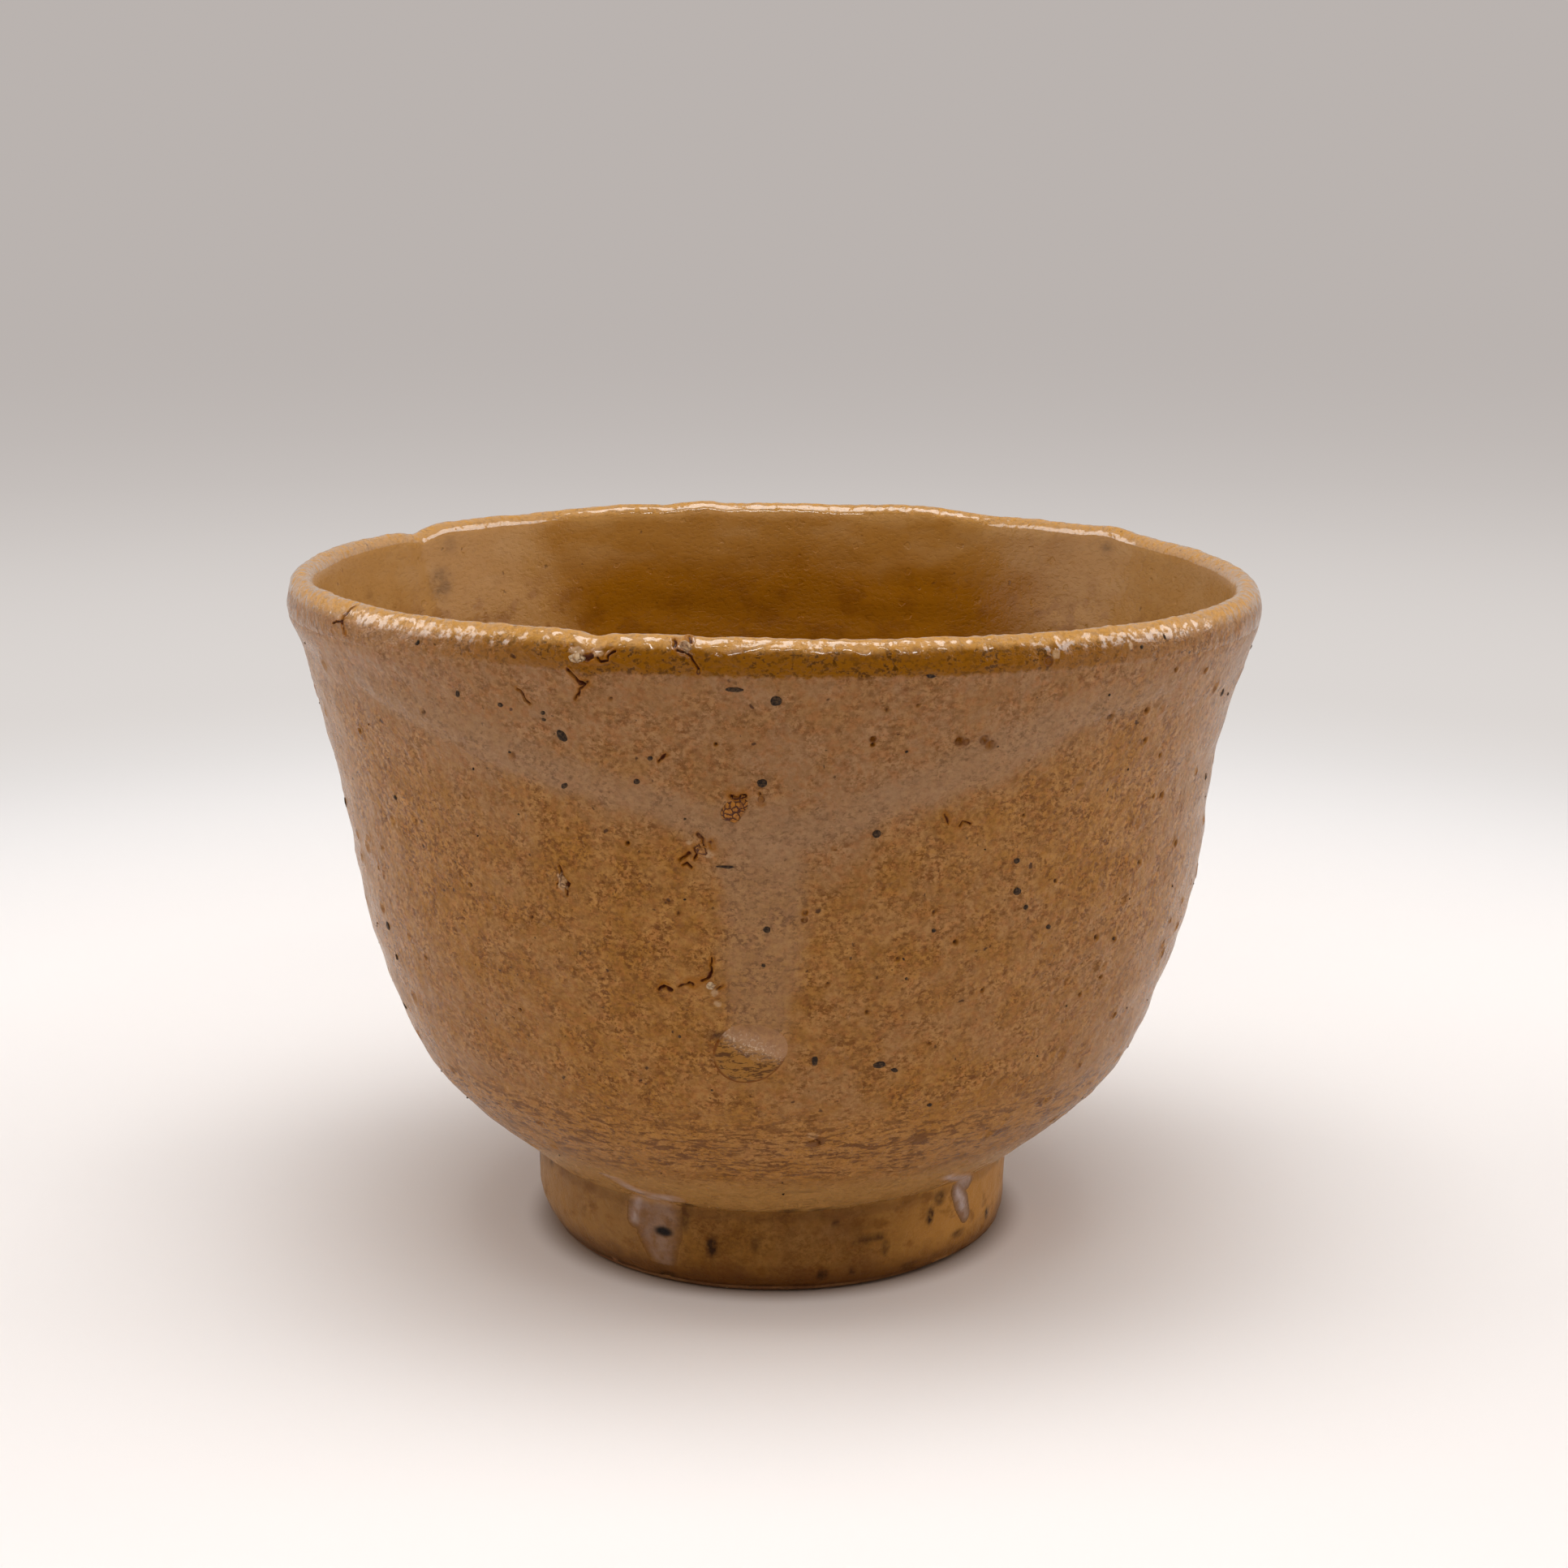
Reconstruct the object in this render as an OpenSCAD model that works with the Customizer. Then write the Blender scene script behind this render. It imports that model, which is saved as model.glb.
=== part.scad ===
// Guinomi sake cup: a thrown stoneware bowl luted on to a turned foot ring, coated in glaze.
// Millimetres. +Z is up, the cup's axis is Z, the foot stands on z = 0 and the front faces -Y.
// Places round the cup are azimuths in degrees from the front, positive to the right.

/* [Cup] */
// Outside diameter at the rim, over the glaze
rim_d = 74; // [66:0.5:90]
// Height from the base of the foot to the crest of the lip
cup_h = 52; // [46:0.5:66]
// Thickness of the lip, over the glaze on both sides
lip_t = 2.5; // [2:0.1:4]
// Height of the lip's round above the widest point of the rim
lip_rise = 2.2; // [1.4:0.1:3]

/* [Outside of the bowl] */
// How far inside the rim the wall lies where the flare starts
flare_inset = 0.9; // [0.4:0.1:3]
// Depth of the flare below the widest point of the rim
flare_drop = 2.8; // [2:0.1:5]
// How far inside the rim the wall lies at the waist
waist_inset = 2.9; // [2:0.1:6]
// Depth of the waist below the widest point of the rim
waist_drop = 10.2; // [7:0.2:15]
// How far inside the rim the wall lies at the belly
belly_inset = 5.4; // [4:0.1:8]
// Height of the belly above the foot joint
belly_rise = 18.8; // [15:0.2:22]
// How far inside the rim the wall lies at the hip
hip_inset = 9.6; // [8.5:0.1:12]
// Height of the hip above the foot joint
hip_rise = 8.2; // [6:0.2:10]
// Angle above level at which the bowl leaves the foot joint
hip_angle = 40; // [30:1:55]

/* [Inside of the bowl] */
// Wall thickness at the flare
flare_t = 2.7; // [2.2:0.1:4]
// Wall thickness at the waist
waist_t = 3.0; // [2.4:0.1:4.5]
// Wall thickness at the belly
belly_t = 4.0; // [3:0.1:6]
// Thickness of the floor at its middle
floor_t = 4.8; // [3.5:0.1:7]
// Diameter of the well where the floor turns up into the wall
well_d = 36; // [28:0.5:42]
// Height of that turn above the middle of the floor
well_rise = 2.0; // [1:0.1:3.5]

/* [Foot] */
// Diameter of the foot at its joint with the bowl, over the glaze
foot_d = 37.4; // [32:0.2:44]
// Height of the foot
foot_h = 6.6; // [4.5:0.1:9]
// Thickness of the foot ring
foot_wall = 4.8; // [3.5:0.1:7]
// How far the ring draws in from its joint to its base
foot_taper = 0.4; // [0:0.1:1]
// Rounding of the base's outer edge
foot_round = 0.8; // [0.4:0.1:1.1]
// Bevel on the base's inner edge
foot_bevel = 0.6; // [0.3:0.1:1.2]
// Height of the boss under the bowl that centres the ring
boss_h = 1.4; // [0.8:0.1:2.4]
// Thickness of the slip between ring and bowl, under the seat and round the boss
slip_t = 0.3; // [0.2:0.05:0.6]

/* [Glaze] */
// Thickness of the glaze on the bowl
glaze_t = 0.35; // [0.2:0.05:0.6]
// Thickness of the glaze on the foot
foot_glaze_t = 0.22; // [0.1:0.02:0.4]
// Height above the base at which the foot's glaze ends
foot_glaze_line = 1.6; // [1.2:0.1:2.6]
// Height over which the foot's glaze thins to nothing
foot_glaze_feather = 0.6; // [0.3:0.1:1]

/* [Glaze run] */
// Thickness of the pale run over the glaze
swag_t = 0.5; // [0.3:0.05:0.9]
// Reach of the left arm from the middle of the front
left_arm = 22.9; // [18:0.2:26]
// Reach of the right arm from the middle of the front
right_arm = 24.1; // [18:0.2:26]
// Depth of the arms' ends below the crest of the lip
arm_drop = 6; // [5:0.2:8]
// Width of an arm
arm_w = 3.4; // [1.6:0.1:4]
// Depth of the fork, where the arms meet, below the crest of the lip
fork_drop = 10.6; // [9.5:0.1:13]
// Distance from the fork down to the top of the stem
fork_h = 5.4; // [4.5:0.1:7]
// Width of the stem at its top
stem_top_w = 6.4; // [5:0.1:8]
// Width of the stem at its end
stem_end_w = 4.8; // [3:0.1:6]
// Height of the end of the run above the foot joint
run_end_rise = 16.6; // [14:0.2:19]
// How far left of the middle of the front the run ends
run_end_shift = 1.6; // [0:0.1:3]
// Diameter of the bead at the end of the run
bead_d = 4.4; // [3:0.1:5]
// How far the bead stands out of the glaze
bead_proud = 0.8; // [0.5:0.05:1.2]

/* [Foot drips] */
// Thickness of the drips
drip_t = 0.6; // [0.4:0.05:0.9]
// Azimuth of the left drip
left_drip_azimuth = -29.5; // [-45:0.5:-15]
// Width of the left drip
left_drip_w = 3.8; // [2.4:0.1:5]
// Length of the left drip below the foot joint
left_drip_h = 3.4; // [2:0.1:4]
// Azimuth of the right drip
right_drip_azimuth = 50.8; // [35:0.2:65]
// Width of the right drip
right_drip_w = 1.9; // [1.4:0.1:3]
// Length of the right drip below the foot joint
right_drip_h = 2.1; // [1.2:0.1:3]

/* [Stones] */
// How far a stone stands out of the surface round it
stone_proud = 0.2; // [0.05:0.05:0.4]
// Diameter of the stones in the lip
lip_stone_d = 1.5; // [0.8:0.1:1.8]
// Diameter of the stones in the wall
wall_stone_d = 1.8; // [1:0.1:2.4]
// Depth of the left lip stone below the crest of the lip
left_lip_stone_drop = 0.8; // [0.2:0.1:1.6]
// Depth of the right lip stone below the crest of the lip
right_lip_stone_drop = 0.3; // [0.2:0.1:1.6]
// Depth of the stone at the run's fork below the crest of the lip
fork_stone_drop = 10.9; // [9.5:0.1:13]
// Depth of the stone at the top of the run's stem below the crest of the lip
stem_stone_drop = 13.7; // [12:0.1:16]
// Depth of the stone left of the run below the crest of the lip
left_stone_drop = 16.9; // [14:0.1:22]
// Depth of the lowest stone below the crest of the lip
low_stone_drop = 23.7; // [20:0.1:28]

/* [Hidden] */
// Facets of a turned piece and of a ball
$fn = 180;
ball_fn = 64;

// Straight pieces in each stretch of a curve, and in a half round
span_steps = 6;
round_steps = 14;

rim_r = rim_d / 2;
rim_z = cup_h - lip_rise;
foot_r = foot_d / 2;
foot_top_r = foot_r - foot_glaze_t;
foot_base_r = foot_top_r - foot_taper;
foot_bore_r = foot_r - foot_wall;
boss_r = foot_bore_r - slip_t;
boss_z = foot_h - boss_h;
ring_top = foot_h - slip_t;
floor_z = boss_z + floor_t;

// Stones as azimuth and depth below the crest of the lip. The wall's upper two come through the run.
lip_stone_places = [[-20.1, left_lip_stone_drop], [-9.9, right_lip_stone_drop]];
run_stone_places = [[-4.6, fork_stone_drop], [-8.9, stem_stone_drop]];
bare_stone_places = [[-26.3, left_stone_drop], [-8, low_stone_drop]];

// Point of the skin that a foot drip hangs from
drip_top = 2;

// Curves
function unit(v) = v / norm(v);
function hermite(p, q, u, v, t) =
    let (a = t * t, b = t * t * t)
    (2 * b - 3 * a + 1) * p + (b - 2 * a + t) * u + (3 * a - 2 * b) * q + (b - a) * v;
function heading(s, i, first, last) =
    i == 0 ? unit(first) : i == len(s) - 1 ? unit(last) : unit(s[i + 1] - s[i - 1]);
// Smooth curve through the stations s, leaving along first and arriving along last
function curve(s, first, last) = concat(
    [for (i = [0 : len(s) - 2], j = [0 : span_steps - 1])
        let (chord = norm(s[i + 1] - s[i]))
        hermite(s[i], s[i + 1], chord * heading(s, i, first, last), chord * heading(s, i + 1, first, last),
                j / span_steps)],
    [s[len(s) - 1]]);
// Points of a half round about c, clockwise from an angle and without its two ends
function half_round(c, r, from) =
    [for (i = [1 : round_steps - 1]) let (a = from - 180 * i / round_steps) c + r * [cos(a), sin(a)]];
function backwards(list) = [for (i = [len(list) - 1 : -1 : 0]) list[i]];
function stretch(list, from, to) = [for (i = [from : to]) list[i]];

// Finished section of the bowl as radius and height: up the outside, over the lip, down to the axis
outside = curve([[foot_r, foot_h],
                 [rim_r - hip_inset, foot_h + hip_rise],
                 [rim_r - belly_inset, foot_h + belly_rise],
                 [rim_r - waist_inset, rim_z - waist_drop],
                 [rim_r - flare_inset, rim_z - flare_drop],
                 [rim_r, rim_z]], [cos(hip_angle), sin(hip_angle)], [0, 1]);
lip = [for (i = [1 : round_steps - 1])
    let (a = 180 * i / round_steps)
    [rim_r - lip_t / 2 + cos(a) * lip_t / 2, rim_z + sin(a) * lip_rise]];
inside = curve([[rim_r - lip_t, rim_z],
                [rim_r - flare_inset - flare_t, rim_z - flare_drop],
                [rim_r - waist_inset - waist_t, rim_z - waist_drop],
                [rim_r - belly_inset - belly_t, foot_h + belly_rise],
                [well_d / 2, floor_z + well_rise],
                [0, floor_z]], [0, -1], [-1, 0]);
skin = concat(outside, lip, inside);
rim_out = len(outside) - 1;
rim_in = rim_out + round_steps;
crest = rim_out + round_steps / 2;
axis_end = len(skin) - 1;

// Direction straight out of the skin at each of its points
function outwards(d) = [d[1], -d[0]];
out = [for (i = [0 : axis_end])
    i == axis_end ? [0, 1] : outwards(unit(skin[i + 1] - skin[max(i - 1, 0)]))];
// The skin moved outwards by t
function moved(t) = [for (i = [0 : axis_end]) skin[i] + t * out[i]];
clay = moved(-glaze_t);

// Point of the outside, and direction out of it, at height z
function out_at(z) =
    let (rows = [for (i = [0 : crest]) [skin[i][1], i]], i = lookup(z, rows), k = floor(i), f = i - k,
         m = min(k + 1, crest))
    [skin[k] * (1 - f) + skin[m] * f, unit(out[k] * (1 - f) + out[m] * f)];
// Outer face of the clay foot at height z
function foot_face(z) = foot_base_r + foot_taper * (z - foot_round) / (foot_h - foot_round);

// Turn what is built on +X to an azimuth
module at_azimuth(a) {
    rotate([0, 0, a - 90]) children();
}

// Push a flat outline, across by up, out along +X
module outwards_from_axis() {
    rotate([90, 0, 90]) linear_extrude(rim_d) children();
}

// A layer on the skin between two of its points, from one face to the other
module coat(low_face, high_face, from, to) {
    rotate_extrude() polygon(concat(stretch(high_face, from, to), backwards(stretch(low_face, from, to))));
}

// Ball of diameter d, pole outwards, whose top stands h out of the outside at height z
module wall_ball(azimuth, z, d, h) {
    spot = out_at(z);
    centre = spot[0] + (h - d / 2) * spot[1];
    at_azimuth(azimuth) translate([centre[0], 0, centre[1]])
        rotate([0, 90, 0]) sphere(d = d, $fn = ball_fn);
}

// Stones of diameter d whose tops stand h out of the outside
module stones(places, d, h) {
    for (place = places) wall_ball(place[0], cup_h - place[1], d, h);
}

module all_stones() {
    stones(lip_stone_places, lip_stone_d, stone_proud);
    stones(run_stone_places, wall_stone_d, stone_proud + swag_t);
    stones(bare_stone_places, wall_stone_d, stone_proud);
}

// Ball that shows a cap of the bead's diameter where the run ends
module bead_ball() {
    end_z = foot_h + run_end_rise;
    azimuth = -asin(run_end_shift / out_at(end_z)[0][0]);
    wall_ball(azimuth, end_z, (bead_d * bead_d / 4 + bead_proud * bead_proud) / bead_proud, bead_proud);
}

// Outline of the run seen from the front: over the arms, down the stem's right side, up its left side
module swag_outline() {
    arm_z = cup_h - arm_drop;
    fork_z = cup_h - fork_drop;
    stem_z = fork_z - fork_h;
    end_z = foot_h + run_end_rise;
    arm_r = arm_w / 2;
    stem_x = -run_end_shift / 2;
    top_edge = curve([[-left_arm, arm_z + arm_r], [stem_x, fork_z], [right_arm, arm_z + arm_r]],
                     [1, 0], [1, 0]);
    right_edge = curve([[right_arm, arm_z - arm_r], [stem_x + stem_top_w / 2, stem_z],
                        [stem_end_w / 2 - run_end_shift, end_z]], [-1, 0], [0, -1]);
    left_edge = curve([[-stem_end_w / 2 - run_end_shift, end_z], [stem_x - stem_top_w / 2, stem_z],
                       [-left_arm, arm_z - arm_r]], [0, 1], [-1, 0]);
    polygon(concat(top_edge, half_round([right_arm, arm_z], arm_r, 90), right_edge,
                   left_edge, half_round([-left_arm, arm_z], arm_r, 270)));
}

// A drop of glaze that hangs from the bowl over the joint, h down the foot
module foot_drip(azimuth, w, h) {
    low = foot_h - h;
    face = foot_face(low) + foot_glaze_t;
    section = concat([[face, low], [face + drip_t, low + drip_t], [foot_r + drip_t, foot_h]],
                     backwards(stretch(skin, 0, drip_top)));
    at_azimuth(azimuth) intersection() {
        rotate_extrude() polygon(section);
        outwards_from_axis() {
            translate([0, low + w / 2]) circle(d = w);
            translate([-w / 2, low + w / 2]) square([w, skin[drip_top][1] - low]);
        }
    }
}

// Thrown bowl with its flat seat and centring boss
module clay_bowl() {
    color("tan") difference() {
        rotate_extrude() polygon(concat(clay, [[0, boss_z], [boss_r, boss_z], [boss_r, foot_h],
                                               [clay[0][0], foot_h]]));
        all_stones();
    }
}

// Turned ring that the cup stands on
module foot_ring() {
    edge = [for (a = [-90 : 15 : 0])
        [foot_base_r - foot_round * (1 - cos(a)), foot_round * (1 + sin(a))]];
    color("burlywood") rotate_extrude() polygon(concat(
        [[foot_bore_r, foot_bevel], [foot_bore_r + foot_bevel, 0]], edge,
        [[foot_face(ring_top), ring_top], [foot_bore_r, ring_top]]));
}

// Slip bed between ring and bowl, turned down round the boss
module lute_slip() {
    color("sienna") rotate_extrude() polygon([
        [boss_r, boss_z], [foot_bore_r, boss_z], [foot_bore_r, ring_top],
        [foot_face(ring_top), ring_top], [foot_top_r, foot_h], [boss_r, foot_h]]);
}

// Ochre coat on the outside, from the foot joint to the rim
module outer_glaze() {
    color("peru") difference() {
        union() {
            coat(clay, skin, 0, rim_out);
            rotate_extrude() polygon([clay[0], [clay[0][0], foot_h], skin[0]]);
        }
        all_stones();
    }
}

// Amber lining of the well
module inner_glaze() {
    color("saddlebrown") coat(clay, skin, rim_in, axis_end);
}

// Rolled coat over the lip
module lip_glaze() {
    color("darkkhaki") difference() {
        coat(clay, skin, rim_out, rim_in);
        all_stones();
    }
}

// Thin coat on the foot that stops short of its base
module foot_glaze() {
    feather_top = foot_glaze_line + foot_glaze_feather;
    color("peru") rotate_extrude() polygon([
        [foot_face(foot_glaze_line), foot_glaze_line],
        [foot_face(feather_top) + foot_glaze_t, feather_top],
        [foot_r, foot_h], [foot_top_r, foot_h]]);
}

// Pale forked run on the front
module glaze_swag() {
    color("rosybrown") difference() {
        intersection() {
            coat(skin, moved(swag_t), 0, rim_out);
            at_azimuth(0) outwards_from_axis() swag_outline();
        }
        bead_ball();
        all_stones();
    }
}

// Amber bead where the run ends
module run_bead() {
    color("darkgoldenrod") difference() {
        bead_ball();
        rotate_extrude() polygon(concat(outside, [[0, rim_z], [0, foot_h]]));
    }
}

// Drops of glaze on the foot
module foot_drips() {
    color("thistle") {
        foot_drip(left_drip_azimuth, left_drip_w, left_drip_h);
        foot_drip(right_drip_azimuth, right_drip_w, right_drip_h);
    }
}

// Stones in the lip
module lip_stones() {
    color("linen") stones(lip_stone_places, lip_stone_d, stone_proud);
}

// Stones in the wall, two of them through the run
module wall_stones() {
    color("linen") {
        stones(run_stone_places, wall_stone_d, stone_proud + swag_t);
        stones(bare_stone_places, wall_stone_d, stone_proud);
    }
}

clay_bowl();
foot_ring();
lute_slip();
outer_glaze();
inner_glaze();
lip_glaze();
foot_glaze();
glaze_swag();
run_bead();
foot_drips();
lip_stones();
wall_stones();
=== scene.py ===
import math

import bmesh
import bpy
import numpy as np
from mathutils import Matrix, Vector, noise


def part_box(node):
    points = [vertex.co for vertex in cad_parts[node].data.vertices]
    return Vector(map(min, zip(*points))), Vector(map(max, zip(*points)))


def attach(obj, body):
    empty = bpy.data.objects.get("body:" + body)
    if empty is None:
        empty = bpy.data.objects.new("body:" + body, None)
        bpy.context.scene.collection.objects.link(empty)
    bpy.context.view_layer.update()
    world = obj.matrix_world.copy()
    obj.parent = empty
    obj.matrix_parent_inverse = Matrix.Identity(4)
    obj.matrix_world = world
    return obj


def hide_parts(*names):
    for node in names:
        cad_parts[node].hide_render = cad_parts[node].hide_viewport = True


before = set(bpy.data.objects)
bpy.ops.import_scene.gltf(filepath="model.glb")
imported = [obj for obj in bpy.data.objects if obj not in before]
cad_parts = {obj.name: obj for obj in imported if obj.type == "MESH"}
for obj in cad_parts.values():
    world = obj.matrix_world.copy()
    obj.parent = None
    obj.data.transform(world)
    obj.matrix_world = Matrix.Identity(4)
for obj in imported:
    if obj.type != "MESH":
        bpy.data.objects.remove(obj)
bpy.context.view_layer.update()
mm = 0.001
scene = bpy.context.scene
scene.view_settings.view_transform = "Standard"
print("frame loaded:", len(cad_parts), "nodes")

# Camera, placed so that the cup's outline falls on the photo's
photo = {
    "side": 1932,                  # pixels each way
    "focal": 3500,                 # pixels
    "stand": (0.7, -215.9, 85.0),  # mm, from the middle of the foot
    "tilt": 13.09,                 # degrees down
}


def makeCamera():
    lens = bpy.data.cameras.new("photoCamera")
    lens.sensor_width = 36
    lens.lens = photo["focal"] / photo["side"] * lens.sensor_width
    lens.clip_start = 0.01
    lens.clip_end = 20
    camera = bpy.data.objects.new("photoCamera", lens)
    camera.location = Vector(photo["stand"]) * mm
    camera.rotation_euler = (math.radians(90 - photo["tilt"]), 0, 0)
    scene.collection.objects.link(camera)
    scene.camera = camera


makeCamera()

# Form of the cup in mm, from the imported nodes; the wall's stations are measured from the rim and the joint
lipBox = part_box("lip_glaze")
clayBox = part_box("clay_bowl")
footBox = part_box("foot_glaze")
cup = {
    "rimR": lipBox[1].x / mm,
    "crestZ": lipBox[1].z / mm,
    "glazeT": (lipBox[1].x - clayBox[1].x) / mm,
    "bossZ": clayBox[0].z / mm,
    "footR": footBox[1].x / mm,
    "footZ": footBox[1].z / mm,
    "lipT": 2.5,
    "lipRise": 2.2,
    "lipTurn": 150,         # degrees of the lip's round, from the outside over the crest
    "hip": (9.6, 8.2),      # in from the rim, up from the foot joint
    "belly": (5.4, 18.8),
    "waist": (2.9, 10.2),   # in from the rim, down from it
    "flare": (0.9, 2.8),
    "hipAngle": 40,
    "flareT": 2.7,
    "waistT": 3.0,
    "bellyT": 4.0,
    "wellR": 18.0,
    "wellRise": 2.0,
    "footWall": 4.8,
    "footTaper": 0.4,
}
cup["rimZ"] = cup["crestZ"] - cup["lipRise"]
cup["floorZ"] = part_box("inner_glaze")[0].z / mm + cup["glazeT"]
cup["boreR"] = cup["footR"] - cup["footWall"]


def smooth(low, high, x):
    t = np.clip((x - low) / (high - low), 0, 1)
    return t * t * (3 - 2 * t)


def curveThrough(stations, leave, arrive, steps=24):
    points = np.array(stations, float)
    heads = [np.array(leave, float)]
    heads += [points[i + 1] - points[i - 1] for i in range(1, len(points) - 1)]
    heads += [np.array(arrive, float)]
    heads = [h / np.linalg.norm(h) for h in heads]
    t = np.linspace(0, 1, steps, endpoint=False)[:, None]
    out = []
    for p, q, u, v in zip(points, points[1:], heads, heads[1:]):
        chord = np.linalg.norm(q - p)
        out.append((2 * t**3 - 3 * t**2 + 1) * p + (t**3 - 2 * t**2 + t) * chord * u
                   + (3 * t**2 - 2 * t**3) * q + (t**3 - t**2) * chord * v)
    return np.vstack(out + [points[-1:]])


def cupSection():
    c = cup
    angle = math.radians(c["hipAngle"])
    up = np.linspace(0, 1, 40, endpoint=False)[:, None]
    footLow = np.array([c["footR"] - c["footTaper"], 0])
    footTop = np.array([c["footR"], c["footZ"]])
    footLine = footLow * (1 - up) + footTop * up
    outside = curveThrough([
        (c["footR"], c["footZ"]),
        (c["rimR"] - c["hip"][0], c["footZ"] + c["hip"][1]),
        (c["rimR"] - c["belly"][0], c["footZ"] + c["belly"][1]),
        (c["rimR"] - c["waist"][0], c["rimZ"] - c["waist"][1]),
        (c["rimR"] - c["flare"][0], c["rimZ"] - c["flare"][1]),
        (c["rimR"], c["rimZ"])], (math.cos(angle), math.sin(angle)), (0, 1))
    last = math.radians(c["lipTurn"])
    a = np.linspace(0, last, 49)[1:]
    half = c["lipT"] / 2
    lip = np.c_[c["rimR"] - half + half * np.cos(a), c["rimZ"] + c["lipRise"] * np.sin(a)]
    inside = curveThrough([
        tuple(lip[-1]),
        (c["rimR"] - c["flare"][0] - c["flareT"], c["rimZ"] - c["flare"][1]),
        (c["rimR"] - c["waist"][0] - c["waistT"], c["rimZ"] - c["waist"][1]),
        (c["rimR"] - c["belly"][0] - c["bellyT"], c["footZ"] + c["belly"][1]),
        (c["wellR"], c["floorZ"] + c["wellRise"]),
        (0, c["floorZ"])], (-half * math.sin(last), c["lipRise"] * math.cos(last)), (-1, 0))
    return footLine, outside, lip[:-1], inside


footLine, outsideLine, lipLine, insideLine = cupSection()
sectionLine = np.vstack([footLine, outsideLine, lipLine, insideLine])
sectionRun = np.r_[0, np.cumsum(np.linalg.norm(np.diff(sectionLine, axis=0), axis=1))]
headings = np.gradient(sectionLine, axis=0)
sectionOut = np.c_[headings[:, 1], -headings[:, 0]]
sectionOut /= np.linalg.norm(sectionOut, axis=1)[:, None]
sectionOut[-1] = (0, 1)
crestIndex = int(np.argmax(sectionLine[:, 1]))
runJoint = sectionRun[len(footLine)]
runRim = sectionRun[len(footLine) + len(outsideLine) - 1]
runCrest = sectionRun[crestIndex]
runInner = sectionRun[len(footLine) + len(outsideLine) + len(lipLine)]
runEnd = sectionRun[-1]


def onSection(run):
    r, z = (np.interp(run, sectionRun, sectionLine[:, k]) for k in (0, 1))
    outR, outZ = (np.interp(run, sectionRun, sectionOut[:, k]) for k in (0, 1))
    return r, z, outR, outZ


def radiusAt(run):
    return onSection(np.array([run]))[0][0]


def runAtHeight(z):
    return np.interp(z, sectionLine[:crestIndex + 1, 1], sectionRun[:crestIndex + 1])


# How the hand-thrown cup departs from a true round, in mm and degrees
wobble = {
    "rimMean": 0.15,
    "rimTilt": (0.27, -0.37),      # rise to the front, to the right
    "rimSaddle": (0.28, -0.07),
    "fadeZ": 16,                   # the rim's rise and fall dies out down here
    "bodyShift": 0.06,             # the wall below the flare lies this far to the right of the rim
    "bodyFade": (47, 41),          # heights between which that starts
    # azimuth, half width, amount upwards
    "rimBumps": [(-18.8, 1.5, -0.3), (-158, 8, 0.16), (-122.5, 2.2, -0.34), (-128, 3, 0.2),
                 (-170, 2.5, 0.26), (-164, 2, -0.14), (148, 4, -0.16), (128, 4, 0.3), (160, 6, 0.22)],
    "footShift": -0.2,             # the foot lies to the left
    "footFade": (9, 6),
    "footRound": (-0.5, 3.5),      # less of it at the floor
    "footBulge": (0.2, 3, 2.4),    # on the left: amount, height, half height
    "footTuck": (0.5, 3.2),        # the lower edge draws in on the left, from this height down
    "lumpFade": (6, 14),
    # azimuth, height, half width, half height, amount outwards
    "lumps": [(86, 30, 28, 4, 0.12), (-86, 30, 28, 4, -0.12), (86, 12, 28, 4, 0.2),
              (-86, 11, 28, 3, -0.06), (86, 41, 28, 4, -0.26), (-86, 40.5, 28, 3, 0.24),
              (86, 32.6, 5, 1.3, 0.12), (84, 20.5, 12, 2, -0.24), (84, 23.5, 6, 1.2, 0.12),
              (-85, 34, 6, 1.4, -0.1), (-84, 25.5, 5, 1.2, 0.1), (-20, 18, 22, 4, 0.12),
              (35, 30, 18, 6, -0.1), (150, 30, 25, 7, 0.25), (-140, 26, 22, 6, -0.25),
              (-165, 41, 20, 5, 0.2), (110, 20, 20, 5, 0.15)],
    "oval": 0.04,
    "middle": (0, 12),             # the well's floor stays round inside these radii
}


def apart(az, middle):
    return (az - math.radians(middle) + math.pi) % (2 * math.pi) - math.pi


def polar(points):
    # azimuth, which is 0 at the front, radius and height
    return np.arctan2(points[:, 0], -points[:, 1]), np.hypot(points[:, 0], points[:, 1]), points[:, 2]


def upright(az, r, z):
    return np.c_[r * np.sin(az), -r * np.cos(az), z]


def rimRise(az, z):
    # how far the uneven rim lifts the wall at a height
    w = wobble
    rise = w["rimMean"] + w["rimTilt"][0] * np.cos(az) + w["rimTilt"][1] * np.sin(az)
    rise += w["rimSaddle"][0] * np.cos(2 * az) + w["rimSaddle"][1] * np.sin(2 * az)
    for middle, wide, amount in w["rimBumps"]:
        rise += amount * np.exp(-(apart(az, middle) / math.radians(wide)) ** 2)
    return rise * smooth(w["fadeZ"], cup["rimZ"], z)


def outOfRound(az, z):
    w = wobble
    amount = w["oval"] * np.cos(2 * (az - 0.7)) + w["bodyShift"] * np.sin(az) * smooth(*w["bodyFade"], z)
    for middle, height, wide, tall, out in w["lumps"]:
        amount += out * np.exp(-(apart(az, middle) / math.radians(wide)) ** 2 - ((z - height) / tall) ** 2)
    left = np.clip(-np.sin(az), 0, 1) ** 2
    bulge, bulgeZ, bulgeHalf = w["footBulge"]
    tuck, tuckZ = w["footTuck"]
    low = w["footShift"] * np.sin(az) * smooth(*w["footFade"], z) * smooth(*w["footRound"], z)
    low += left * (bulge * np.exp(-((z - bulgeZ) / bulgeHalf) ** 2) - tuck * smooth(tuckZ, 0, z))
    return amount * smooth(*w["lumpFade"], z) + low


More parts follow.
